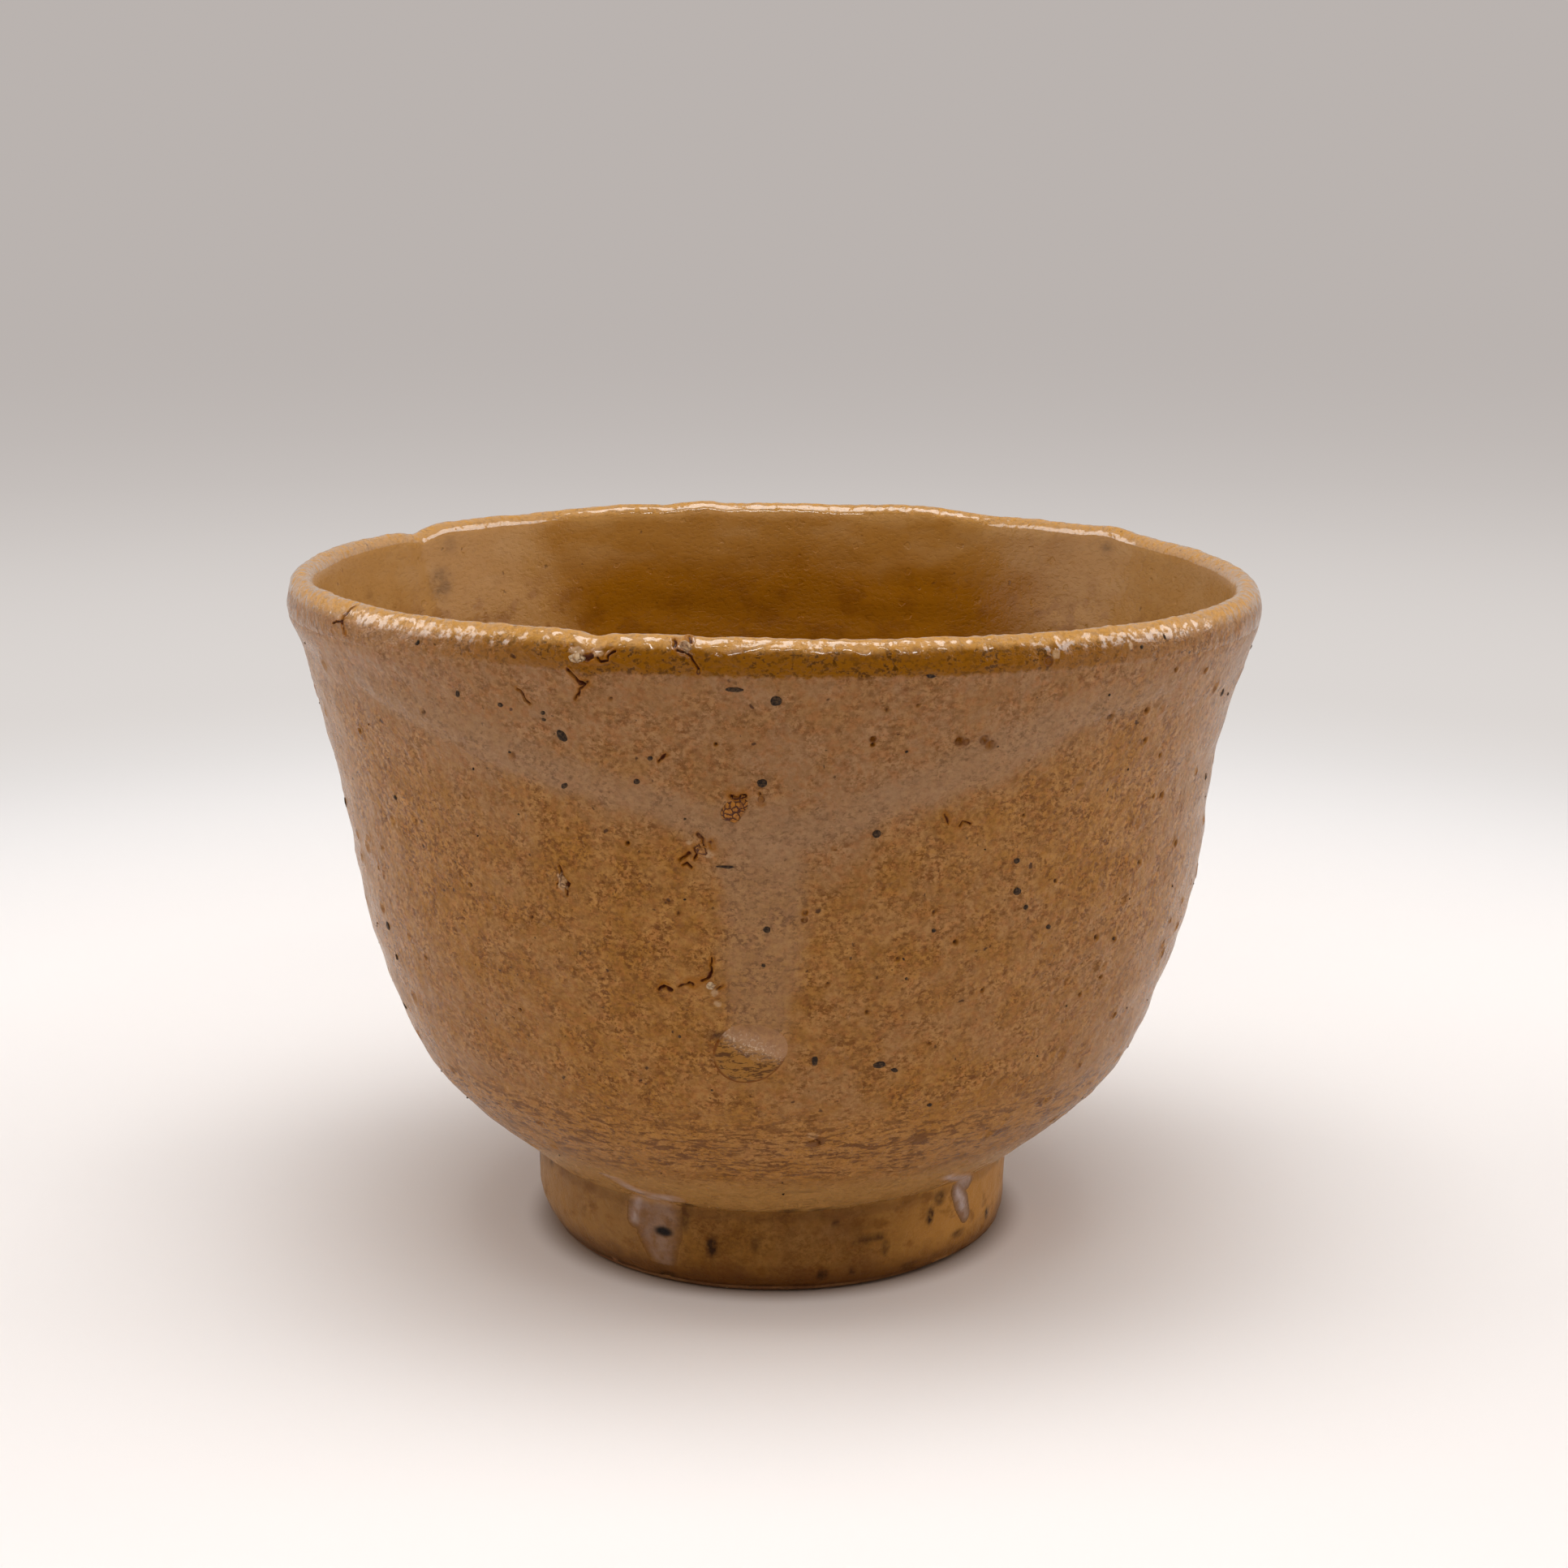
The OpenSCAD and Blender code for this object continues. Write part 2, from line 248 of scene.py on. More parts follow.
def place(az, run, lift):
    # points in metres at an azimuth, a distance along the section and a height over it
    r, z, outR, outZ = onSection(run)
    r = r + outOfRound(az, z) * smooth(*wobble["middle"], r) + lift * outR
    return upright(az, r, z + rimRise(az, z) + lift * outZ) * mm


def alongRay(pixel, near, far):
    # points in mm on the line of sight through one pixel of the photo
    tilt = math.radians(photo["tilt"])
    across = (pixel[0] - photo["side"] / 2) / photo["focal"]
    up = (photo["side"] / 2 - pixel[1]) / photo["focal"]
    ray = np.array([across, math.cos(tilt) + up * math.sin(tilt), up * math.cos(tilt) - math.sin(tilt)])
    return np.array(photo["stand"]) + np.arange(near, far, 0.05)[:, None] * ray


def castPixel(pixel):
    # azimuth and run of the outside under one pixel of the photo
    az, far, high = polar(alongRay(pixel, 130, 250))
    z = high - rimRise(az, high)
    run = runAtHeight(z)
    wall = onSection(run)[0] + outOfRound(az, z)
    hit = (far < wall) & (z < cup["crestZ"]) & (z > 0)
    first = int(np.argmax(hit))
    return az[first], run[first]


def castInside(pixel):
    # azimuth and run of the well's back wall under one pixel of the photo
    az, far, z = polar(alongRay(pixel, 200, 290))
    wall = np.interp(z, insideLine[::-1, 1], insideLine[::-1, 0])
    back = int(np.argmin(far))
    hit = back + int(np.argmax(far[back:] > wall[back:]))
    return az[hit], np.interp(-z[hit], -insideLine[:, 1], sectionRun[-len(insideLine):])


wallScale = 19.2    # the photo's pixels to a mm on the front wall
wellScale = 14      # and on the back wall of the well
print("section ready: %.1f mm from foot to well" % runEnd)

# Marks in the glaze that the photo shows, as pixels of the photo. Sizes are mm.
marks = {
    # pixel x, y, radius, depth, amber stain
    "pits": [(523, 877, 0.30, 0.20, 0.4), (445, 900, 0.26, 0.18, 0.3), (633, 930, 0.24, 0.20, 0.9),
             (1182, 913, 0.30, 0.24, 1), (1190, 914, 0.24, 0.22, 1), (1212, 911, 0.30, 0.26, 1),
             (1219, 917, 0.34, 0.28, 1), (1075, 910, 0.22, 0.22, 1), (1075, 917, 0.18, 0.20, 1),
             (992, 1124, 0.20, 0.22, 1), (991, 1133, 0.22, 0.24, 1), (1177, 1161, 0.22, 0.26, 0.9),
             (1350, 1155, 0.28, 0.22, 0.7), (1372, 1157, 0.22, 0.20, 0.7), (1368, 883, 0.32, 0.24, 0.5),
             (1413, 875, 0.28, 0.24, 0.8), (1431, 980, 0.30, 0.24, 0.8), (1428, 930, 0.20, 0.18, 0.6),
             (1449, 825, 0.22, 0.18, 0.7), (1486, 826, 0.28, 0.20, 0.6), (1092, 874, 0.14, 0.14, 0.9),
             (1131, 869, 0.16, 0.16, 0.9), (1106, 1181, 0.17, 0.18, 0.8), (1068, 1247, 0.18, 0.20, 0.8),
             (1020, 1212, 0.16, 0.16, 0.8), (774, 1038, 0.18, 0.18, 1), (836, 1124, 0.15, 0.16, 0.9),
             (882, 917, 0.15, 0.14, 1), (753, 860, 0.16, 0.16, 0.9), (1027, 1044, 0.16, 0.16, 0.8),
             (938, 984, 0.22, 0.20, 1), (1150, 1123, 0.15, 0.16, 0.8), (525, 1180, 0.22, 0.16, 0.5),
             (700, 1020, 0.16, 0.14, 0.6), (1300, 1085, 0.20, 0.18, 0.5), (1291, 815, 0.30, 0.14, 1),
             (640, 1245, 0.18, 0.16, 0.5), (580, 1090, 0.20, 0.16, 0.4), (1262, 1005, 0.16, 0.16, 0.7),
             (1210, 1220, 0.16, 0.16, 0.7), (742, 1206, 0.15, 0.14, 0.7), (655, 1130, 0.16, 0.14, 0.7),
             (1330, 1225, 0.20, 0.18, 0.6), (1145, 1286, 0.14, 0.14, 0.7)],
    # line of pixels, width, depth
    "cracks": [([(701, 825), (706, 831), (713, 836), (720, 842)], 0.26, 0.30),
               ([(721, 841), (715, 849), (709, 859)], 0.20, 0.26), ([(717, 842), (723, 839)], 0.34, 0.26),
               ([(737, 810), (742, 816), (748, 813), (752, 805), (758, 803)], 0.20, 0.24),
               ([(719, 811), (731, 810)], 0.36, 0.26),
               ([(638, 848), (646, 854), (648, 860), (653, 866)], 0.20, 0.24),
               ([(836, 802), (845, 803), (851, 808), (856, 815), (861, 827)], 0.22, 0.26),
               ([(850, 787), (851, 793)], 0.30, 0.2), ([(831, 790), (833, 797)], 0.30, 0.2),
               ([(437, 748), (421, 765), (424, 781)], 0.24, 0.24), ([(421, 765), (411, 768)], 0.16, 0.18),
               ([(901, 980), (909, 982), (917, 979)], 0.36, 0.30), ([(909, 982), (909, 990)], 0.26, 0.26),
               ([(914, 994), (917, 997)], 0.24, 0.2),
               ([(860, 1026), (866, 1031), (867, 1037)], 0.24, 0.3),
               ([(857, 1042), (863, 1039), (869, 1040)], 0.24, 0.3),
               ([(859, 1042), (858, 1052), (856, 1057)], 0.22, 0.3),
               ([(850, 1049), (844, 1053), (838, 1058)], 0.28, 0.3),
               ([(842, 1065), (846, 1063), (853, 1067)], 0.20, 0.28),
               ([(876, 1036), (878, 1042)], 0.30, 0.2),
               ([(690, 1066), (694, 1077), (702, 1088), (700, 1102)], 0.20, 0.24),
               ([(694, 1077), (688, 1089)], 0.14, 0.18),
               ([(877, 1180), (876, 1188), (877, 1196)], 0.16, 0.24),
               ([(877, 1196), (873, 1203), (867, 1207)], 0.20, 0.26),
               ([(884, 1217), (890, 1214)], 0.20, 0.2), ([(850, 1210), (853, 1212)], 0.36, 0.3),
               ([(849, 1211), (844, 1213), (838, 1216)], 0.14, 0.2),
               ([(812, 1218), (816, 1214), (821, 1215)], 0.18, 0.26),
               ([(819, 1214), (828, 1219)], 0.32, 0.3), ([(812, 937), (819, 930)], 0.20, 0.22),
               ([(998, 1404), (1006, 1402), (1011, 1408)], 0.20, 0.22),
               ([(1164, 1004), (1168, 1013)], 0.16, 0.18),
               ([(1182, 1018), (1187, 1013), (1194, 1015)], 0.18, 0.20),
               ([(936, 976), (938, 990)], 0.18, 0.2)],
    # pixel x, y, reach and rise of the swelling round a burst stone
    "swells": [(712, 815, 1.6, 0.18), (844, 797, 1.1, 0.14), (904, 998, 1.9, 0.14),
               (862, 1045, 1.5, 0.16), (694, 1083, 1.2, 0.14), (875, 1213, 1.3, 0.14),
               (1003, 1402, 1.2, 0.14), (1299, 806, 1.0, 0.12)],
    # white flakes of burst stone in the glaze: pixel and half sizes
    "flakes": [(872, 1052, 0.42, 0.26), (850, 1036, 0.28, 0.2), (713, 803, 0.5, 0.28),
               (738, 806, 0.4, 0.2), (694, 1090, 0.3, 0.4), (880, 1222, 0.28, 0.3),
               (1300, 806, 0.36, 0.34), (1392, 796, 0.28, 0.24), (1001, 1397, 0.42, 0.3),
               (1133, 1437, 0.3, 0.16), (884, 1236, 0.26, 0.26)],
    # middle line of the pale run: pixel x, y and half width in pixels
    "run": [[(440, 838, 22), (540, 888, 36), (640, 934, 38),
             (745, 974, 32), (850, 1006, 30), (930, 1038, 36)],
            [(1440, 846, 20), (1330, 882, 34), (1235, 926, 42),
             (1130, 976, 36), (1040, 1008, 34), (945, 1038, 36)],
            [(942, 1030, 52), (942, 1080, 63), (940, 1150, 61), (938, 1220, 54), (936, 1286, 46)]],
    "bead": (924, 1297, 50, 48),      # middle and half sizes in pixels
    "frost": [(898, 1274, 9), (920, 1282, 13), (944, 1293, 12), (961, 1302, 7)],
    # brown stains on the foot and under the bowl: pixel, half sizes in pixels, share
    "stains": [(886, 1273, 12, 5, 0.9), (921, 1259, 9, 6, 0.5), (877, 1536, 8, 17, 0.9),
               (931, 1532, 7, 12, 0.45), (973, 1492, 14, 7, 0.8), (1011, 1490, 14, 5, 0.8),
               (1146, 1498, 7, 14, 0.9), (1066, 1528, 20, 6, 0.6), (1083, 1524, 10, 6, 0.6),
               (1013, 1570, 8, 9, 0.8), (1049, 1566, 5, 5, 0.7), (1215, 1494, 8, 10, 0.8),
               (1090, 1536, 6, 14, 0.5), (1158, 1476, 12, 12, 0.6), (1180, 1520, 18, 5, 0.55),
               (1030, 1506, 6, 5, 0.6), (843, 1502, 8, 20, 0.5), (848, 1486, 10, 5, 0.9),
               (762, 1560, 6, 14, 0.4), (940, 1590, 16, 6, 0.7), (822, 1572, 14, 7, 0.6),
               (990, 1590, 20, 6, 0.5), (1120, 1560, 14, 6, 0.5), (720, 1490, 5, 8, 0.3),
               (1100, 1470, 22, 4, 0.35), (985, 1468, 30, 4, 0.3)],
    # smudges in the well
    "smudges": [(544, 719, 20, 20, 0.8), (555, 677, 12, 10, 0.5), (1364, 674, 9, 7, 0.9),
                (455, 735, 12, 6, 0.5)],
    "filled": 0.95,       # pits with more stain than this are full of amber
    "crackWide": 0.78,    # share of the listed width and depth that a crack keeps
    "crackDeep": 0.65,
    "stoneSwell": (1.1, 0.12),
    # scattered where the photo doesn't show the cup, with a few pits more on the right flank
    "flankPits": 14,
    "sidePits": 64,
    "dents": 150,
    "sideCracks": 9,
    "sideStains": 34,
    "seed": 11,
}


def wallLine(pixels):
    return np.array([castPixel(p) for p in pixels])


def scatterMarks():
    rng = np.random.default_rng(marks["seed"])
    pits, cracks = [], []
    for k in range(marks["sidePits"]):
        if k < marks["flankPits"]:
            az, z = math.radians(rng.uniform(46, 86)), rng.uniform(20, 48)
        else:
            az, z = math.radians(rng.uniform(75, 300)), rng.uniform(12, 49)
        pits.append((az, runAtHeight(z), rng.uniform(0.16, 0.34), rng.uniform(0.16, 0.26),
                     rng.uniform(0.3, 0.9)))
    for k in range(marks["dents"]):
        az = rng.uniform(-math.pi, math.pi)
        if abs(az) < 0.6:
            az = az * 4
        pits.append((az, runAtHeight(rng.uniform(10, 47)), rng.uniform(0.3, 0.6),
                     rng.uniform(0.06, 0.14), 0))
    for k in range(marks["sideCracks"]):
        az, z = math.radians(rng.uniform(75, 290)), rng.uniform(16, 48)
        run = runAtHeight(z)
        line = [(az, run)]
        for step in range(3):
            az += rng.uniform(-0.02, 0.03)
            run += rng.uniform(-0.8, 0.8)
            line.append((az, run))
        cracks.append((np.array(line), rng.uniform(0.26, 0.42), rng.uniform(0.26, 0.38)))
    stains = [(math.radians(rng.uniform(62, 298)), rng.uniform(1.2, 6.6), rng.uniform(0.25, 0.7),
               rng.uniform(0.25, 0.8), rng.uniform(0.4, 0.85)) for k in range(marks["sideStains"])]
    return pits, cracks, stains


def ragged(line, seed):
    # a crack's line broken into short uneven steps
    rng = np.random.default_rng(100 + seed)
    out = [line[0]]
    for a, b in zip(line, line[1:]):
        r = radiusAt(a[1])
        length = math.hypot((b[0] - a[0]) * r, b[1] - a[1])
        steps = max(int(length / 0.22), 1)
        for k in range(1, steps + 1):
            nudge = rng.uniform(-0.075, 0.075, 2) / (r, 1)
            out.append(a + (b - a) * k / steps + nudge)
    return np.array(out)


def cast(spots, scale=wallScale, into=castPixel):
    # spots of pixel, half sizes in pixels and share
    return [(*into(p), p[2] / scale, p[3] / scale, p[4]) for p in spots]


def castLine(pixels):
    # a line of pixel and half width in pixels
    return np.array([(*castPixel(p), p[2] / wallScale) for p in pixels])


sidePits, sideCracks, sideStains = scatterMarks()
stains = cast(marks["stains"]) + sideStains
smudges = cast(marks["smudges"], wellScale, castInside)
pits = np.array([(*castPixel(p), *p[2:]) for p in marks["pits"]] + sidePits)
seenCracks = [(wallLine(line), wide, deep) for line, wide, deep in marks["cracks"]]
cracks = [(ragged(line, k), wide * marks["crackWide"], deep * marks["crackDeep"])
          for k, (line, wide, deep) in enumerate(seenCracks + sideCracks)]
flakes = [(castPixel(f), f[2:]) for f in marks["flakes"]]
swells = np.array([(*castPixel(s), *s[2:]) for s in marks["swells"]]
                  + [(*line[0], *marks["stoneSwell"]) for line, wide, deep in sideCracks])
runLines = [castLine(line) for line in marks["run"]]
frostLine = castLine(marks["frost"])
beadSpot = castPixel(marks["bead"])
print("marks cast on the wall:", len(pits), "pits,", len(cracks), "cracks")


def farFrom(az, run, spot, half=(1, 1)):
    # distance to a spot on the wall, in mm or in half sizes of the spot
    across = apart(az, math.degrees(spot[0])) * radiusAt(spot[1])
    return np.hypot(across / half[0], (run - spot[1]) / half[1])


def farFromLine(az, run, line):
    # distance to a line on the wall in mm, less the line's own half width where it has one
    best = np.full(len(az), 1e3)
    r = onSection(line[:, 1])[0].mean()
    flat = np.c_[apart(az, math.degrees(line[0, 0])) * r, run]
    nodes = np.c_[(line[:, 0] - line[0, 0]) * r, line[:, 1]]
    for k in range(len(nodes) - 1):
        way = nodes[k + 1] - nodes[k]
        t = np.clip((flat - nodes[k]) @ way / (way @ way), 0, 1)
        gap = np.linalg.norm(flat - nodes[k] - t[:, None] * way, axis=1)
        if line.shape[1] > 2:
            gap = gap - line[k, 2] * (1 - t) - line[k + 1, 2] * t
        best = np.minimum(best, gap)
    return best


def stainShare(az, run, spots):
    # soft stains of (azimuth, run, half width, half height, share)
    stained = np.zeros(len(az))
    for *spot, wide, tall, share in spots:
        stained = np.maximum(stained, share * smooth(1.4, 0.5, farFrom(az, run, spot, (wide, tall))))
    return stained


def lumpy(points, size, seed):
    # smooth noise about zero with lumps of about that many mm
    scaled = points / size + 7.31 * seed
    return np.array([noise.noise(p) for p in scaled.tolist()])


def trueRound(az, run):
    return upright(az, *onSection(run)[:2])


# Relief that every coat follows, in mm
relief = {
    "ring": 0.04,       # throwing rings
    "ringPitch": 4.6,
    "lump": 0.10,       # slow swellings of the wall
    "lumpSize": 9.0,
    "ripple": 0.06,
    "rippleSize": 2.2,
    "peel": 0.05,
    "peelSize": 1.1,
    "lipLump": 0.06,
    "lipLumpSize": 3.0,
    "lipNick": 0.085,   # on the front of the lip, less elsewhere
    "lipNickSize": 0.62,
    "edge": 0.05,       # raised edge of pits, cracks and flakes
    "deepest": 0.55,
    "joint": 0.16,      # groove between bowl and foot
    "well": 0.08,       # throwing rings in the well
}


def runShare(az, run):
    # signed distance in mm to the edge of the pale run, negative inside
    return np.minimum.reduce([farFromLine(az, run, line) for line in runLines])


def farAbove(az, run):
    # mm above the pale run's lower edge, where the glaze is pinker and its grain softer
    arm = np.vstack([runLines[0], runLines[1][::-1]])
    order = np.argsort(arm[:, 0])
    middle = np.interp(az, arm[order, 0], arm[order, 1] - arm[order, 2])
    return run - middle


def lipRelief(az, points):
    # slow waves all round, and nicks that are deepest at the front
    front = 0.55 + 0.45 * smooth(70, 35, np.abs(np.degrees(az)))
    nicks = front * relief["lipNick"] * lumpy(points, relief["lipNickSize"], 14)
    return relief["lipLump"] * lumpy(points, relief["lipLumpSize"], 4) + nicks


def lipBandShare(az):
    # how clearly the olive band shows under the lip
    turn = np.degrees(az)
    return 0.14 + 0.86 * smooth(-46, -16, turn) * smooth(60, 20, turn)


def throwingRings(along, az, slow):
    # a spiral that wanders with the slow swellings
    turns = along / relief["ringPitch"] + az / (2 * math.pi) + slow
    return np.sin(2 * math.pi * turns)


def outsideRelief(az, run):
    # height over the section, and masks for the finish
    k = relief
    points = trueRound(az, run)
    z = points[:, 2]
    slow = lumpy(points, k["lumpSize"], 1)
    height = k["lump"] * slow + k["ring"] * throwingRings(z, az, 0.35 * slow) * smooth(8, 14, z)
    height += k["ripple"] * lumpy(points * (0.6, 0.6, 1.2), k["rippleSize"], 2)
    height += k["peel"] * lumpy(points, k["peelSize"], 3)
    height += smooth(runRim - 0.2, runRim + 0.9, run) * lipRelief(az, points)
    groove = np.exp(-((run - runJoint - 0.3) / 0.45) ** 2)
    height -= k["joint"] * groove * (0.7 + 0.6 * lumpy(points, 5, 5))
    pitMask, crackMask, amberMask, flakeMask = (np.zeros(len(az)) for i in range(4))
    for *spot, reach, rise in swells:
        height += rise * np.exp(-(farFrom(az, run, spot) / reach) ** 2)
    for *spot, size, deep, amber in pits:
        gap = farFrom(az, run, spot) / size
        height += -deep * smooth(1.05, 0.25, gap) + k["edge"] * np.exp(-((gap - 1.25) / 0.35) ** 2)
        full = amber > marks["filled"] and size > 0.21      # dark only round its edge
        if amber > 0:
            pitMask = np.maximum(pitMask, smooth(0.9, 0.35, gap) * (0.15 if full else 0.9))
        if full:
            crackMask = np.maximum(crackMask, 0.6 * np.exp(-((gap - 0.95) / 0.26) ** 2))
        amberMask = np.maximum(amberMask, amber * smooth(1.2 if full else 1.7, 0.6, gap))
    wander = 0.3 + 2.9 * np.abs(lumpy(points, 0.6, 12))
    for line, wide, deep in cracks:
        gap = farFromLine(az, run, line) / (wide / 2)
        height += -deep * smooth(1.3, 0.2, gap) + k["edge"] * np.exp(-((gap - 2.0) / 0.8) ** 2)
        crackMask = np.maximum(crackMask, smooth(1.3, 0.5, gap / wander))
        amberMask = np.maximum(amberMask, 0.85 * smooth(4.2, 1.0, gap + 2.2 * lumpy(points, 1.1, 15)))
    for spot, half in flakes:
        gap = farFrom(az, run, spot, half) + 0.45 * lumpy(points, 0.45, 13)
        height += k["edge"] * smooth(1.2, 0.6, gap)
        flakeMask = np.maximum(flakeMask, smooth(1.1, 0.7, gap))
    masks = {
        "pit": pitMask, "crack": crackMask, "amber": amberMask, "flake": flakeMask,
        "pale": runShare(az, run), "overV": farAbove(az, run), "frost": -farFromLine(az, run, frostLine),
        "fromCrest": run - runCrest, "aboveJoint": run - runJoint, "band": lipBandShare(az),
        "side": np.zeros(len(az)), "stain": stainShare(az, run, stains),
    }
    return np.maximum(height, -k["deepest"]), masks


def insideRelief(az, run):
    k = relief
    points = trueRound(az, run)
    slow = lumpy(points, k["lumpSize"], 6)
    depth = run - runCrest
    height = k["well"] * (throwingRings(depth, az, 0.3 * slow) * smooth(4, 12, depth) + slow)
    height += k["ripple"] * lumpy(points, k["rippleSize"], 7) * smooth(1.5, 5, depth)
    onLip = smooth(runInner - runCrest - 0.3, runInner - runCrest - 1.2, depth)
    height += onLip * (lipRelief(az, points) + k["lump"] * lumpy(points, k["lumpSize"], 1))
    turn = np.degrees(az)
    none = np.zeros(len(az))
    masks = {
        "pit": none, "crack": none, "amber": none, "flake": none,
        "pale": none + 9, "overV": none + 9, "frost": none - 9,
        "fromCrest": depth, "aboveJoint": run - runJoint, "band": lipBandShare(az),
        # side: the well's two sides, where the tan of painted sheen goes
        "side": smooth(-152, -140, turn) * smooth(146, 128, turn), "stain": stainShare(az, run, smudges),
    }
    return height, masks


def coatRelief(az, run):
    # the outside up to the crest and the inside beyond it, joined over the lip
    az, run = np.asarray(az, float), np.asarray(run, float)
    outHeight, outMasks = outsideRelief(az, np.minimum(run, runInner))
    inHeight, inMasks = insideRelief(az, np.maximum(run, runRim))
    over = smooth(runCrest - 0.4, runCrest + 1.6, run)
    height = outHeight * (1 - over) + inHeight * over
    masks = {name: outMasks[name] * (1 - over) + inMasks[name] * over for name in outMasks}
    masks["fromCrest"] = run - runCrest
    return height, masks


def makePiece(name, look, points, faces, masks):
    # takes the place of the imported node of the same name
    mesh = bpy.data.meshes.new(name)
    mesh.from_pydata(points.tolist(), [], faces)
    for key, values in masks.items():
        mask = mesh.attributes.new(key, "FLOAT", "POINT")
        mask.data.foreach_set("value", np.asarray(values, np.float32))
    clean = bmesh.new()
    clean.from_mesh(mesh)
    bmesh.ops.remove_doubles(clean, verts=clean.verts, dist=2e-7)
    bmesh.ops.recalc_face_normals(clean, faces=clean.faces)
    clean.to_mesh(mesh)
    clean.free()
    mesh.polygons.foreach_set("use_smooth", [True] * len(mesh.polygons))
    mesh.materials.append(finish[look])
    piece = bpy.data.objects.new(name, mesh)
    scene.collection.objects.link(piece)
    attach(piece, "root")
    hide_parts(name)
    triangles = sum(len(p.vertices) - 2 for p in mesh.polygons)
    print("made", name, "with", triangles, "triangles")


def flatGrid(columns, runs, spots):
    # azimuth by run, cut finer near spots of (azimuth, run, reach, times)
    sheet = bmesh.new()
    rows = [[sheet.verts.new((-math.pi + 2 * math.pi * i / columns, run, 0)) for i in range(columns + 1)]
            for run in runs]
    for low, high in zip(rows, rows[1:]):
        for i in range(columns):
            sheet.faces.new((low[i], low[i + 1], high[i + 1], high[i]))
    for turn, widen in enumerate((0.5, 0.25, 0.1)):     # each cut keeps closer to the spots
        sheet.verts.index_update()
        flat = np.array([v.co[:2] for v in sheet.verts])
        near = np.zeros(len(flat), bool)
        for *spot, reach, times in spots:
            if times > turn:
                near |= farFrom(flat[:, 0], flat[:, 1], spot) < reach + widen
        edges = [e for e in sheet.edges if near[e.verts[0].index] and near[e.verts[1].index]
                 and not e.is_boundary]
        bmesh.ops.subdivide_edges(sheet, edges=edges, cuts=1, use_grid_fill=True, use_single_edge=True)
    sheet.verts.index_update()
    flat = np.array([v.co[:2] for v in sheet.verts])
    faces = [[v.index for v in f.verts] for f in sheet.faces]
    sheet.free()
    last = flat[:, 0] > math.pi - 1e-5          # the last column is the first again
    first = flat[:, 0] < -math.pi + 1e-5
    start = {round(float(flat[k, 1]), 4): int(k) for k in np.flatnonzero(first)}
    same = {int(k): start[round(float(flat[k, 1]), 4)] for k in np.flatnonzero(last)}
    faces = [[same.get(k, k) for k in face] for face in faces]
    ends = []
    for run in (runs[0], runs[-1]):
        row = np.flatnonzero((np.abs(flat[:, 1] - run) < 1e-4) & ~last)
        ends.append(row[np.argsort(flat[row, 0])].tolist())
    return flat, faces, ends[0], ends[1]


def markSpots(low, high):
    # where a coat is cut finer, and how many times
    spots = []
    for az, run, size, deep, amber in pits:
        spots.append((az, run, size * 1.3, 3 if amber > marks["filled"] else 2 if amber > 0 else 1))
    for spot, half in flakes:
        spots.append((*spot, max(half), 2))
    for line, wide, deep in cracks:
        spots += [(az, run, wide, 3) for az, run in line]
    return [s for s in spots if low < s[1] < high]


def coatShell(name, look, cut, low, high, liftOf, underOf, fine=True):
    # closed coat between two runs: a finely cut seen face and a plain hidden one
    columns, step = cut
    runs = np.linspace(low, high, max(int((high - low) / step), 4))
    spots = markSpots(low + 0.4, high - 0.4) if fine else []
    flat, faces, lowRow, highRow = flatGrid(columns, runs, spots)
    height, masks = coatRelief(flat[:, 0], flat[:, 1])
    points = place(flat[:, 0], flat[:, 1], height + liftOf(flat[:, 1]))
    hiddenRuns = np.linspace(low, high, 16)
    az = -math.pi + 2 * math.pi * np.arange(columns) / columns
    hiddenAz = np.tile(az, len(hiddenRuns))
    hiddenRun = np.repeat(hiddenRuns, columns)
    hidden = place(hiddenAz, hiddenRun, underOf(hiddenRun))
    base = len(points)
    grid = [[base + k * columns + i for i in range(columns)] for k in range(len(hiddenRuns))]
    for lowLine, highLine in zip(grid, grid[1:]):
        for i in range(columns):
            j = (i + 1) % columns
            faces.append([lowLine[j], lowLine[i], highLine[i], highLine[j]])
    for i in range(columns):
        j = (i + 1) % columns
        faces.append([grid[0][i], grid[0][j], lowRow[j], lowRow[i]])
        faces.append([highRow[i], highRow[j], grid[-1][j], grid[-1][i]])
    for key in masks:
        masks[key] = np.r_[masks[key], np.zeros(len(hidden))]
    makePiece(name, look, np.vstack([points, hidden]), faces, masks)


def lifted(plan, edge):
    # how high a blob of glaze stands, from its distance to the blob's edge
    rise = smooth(plan["edge"], -plan["slope"], edge) ** plan["round"]
    return -plan["sink"] + (plan["thick"] + plan["sink"]) * rise


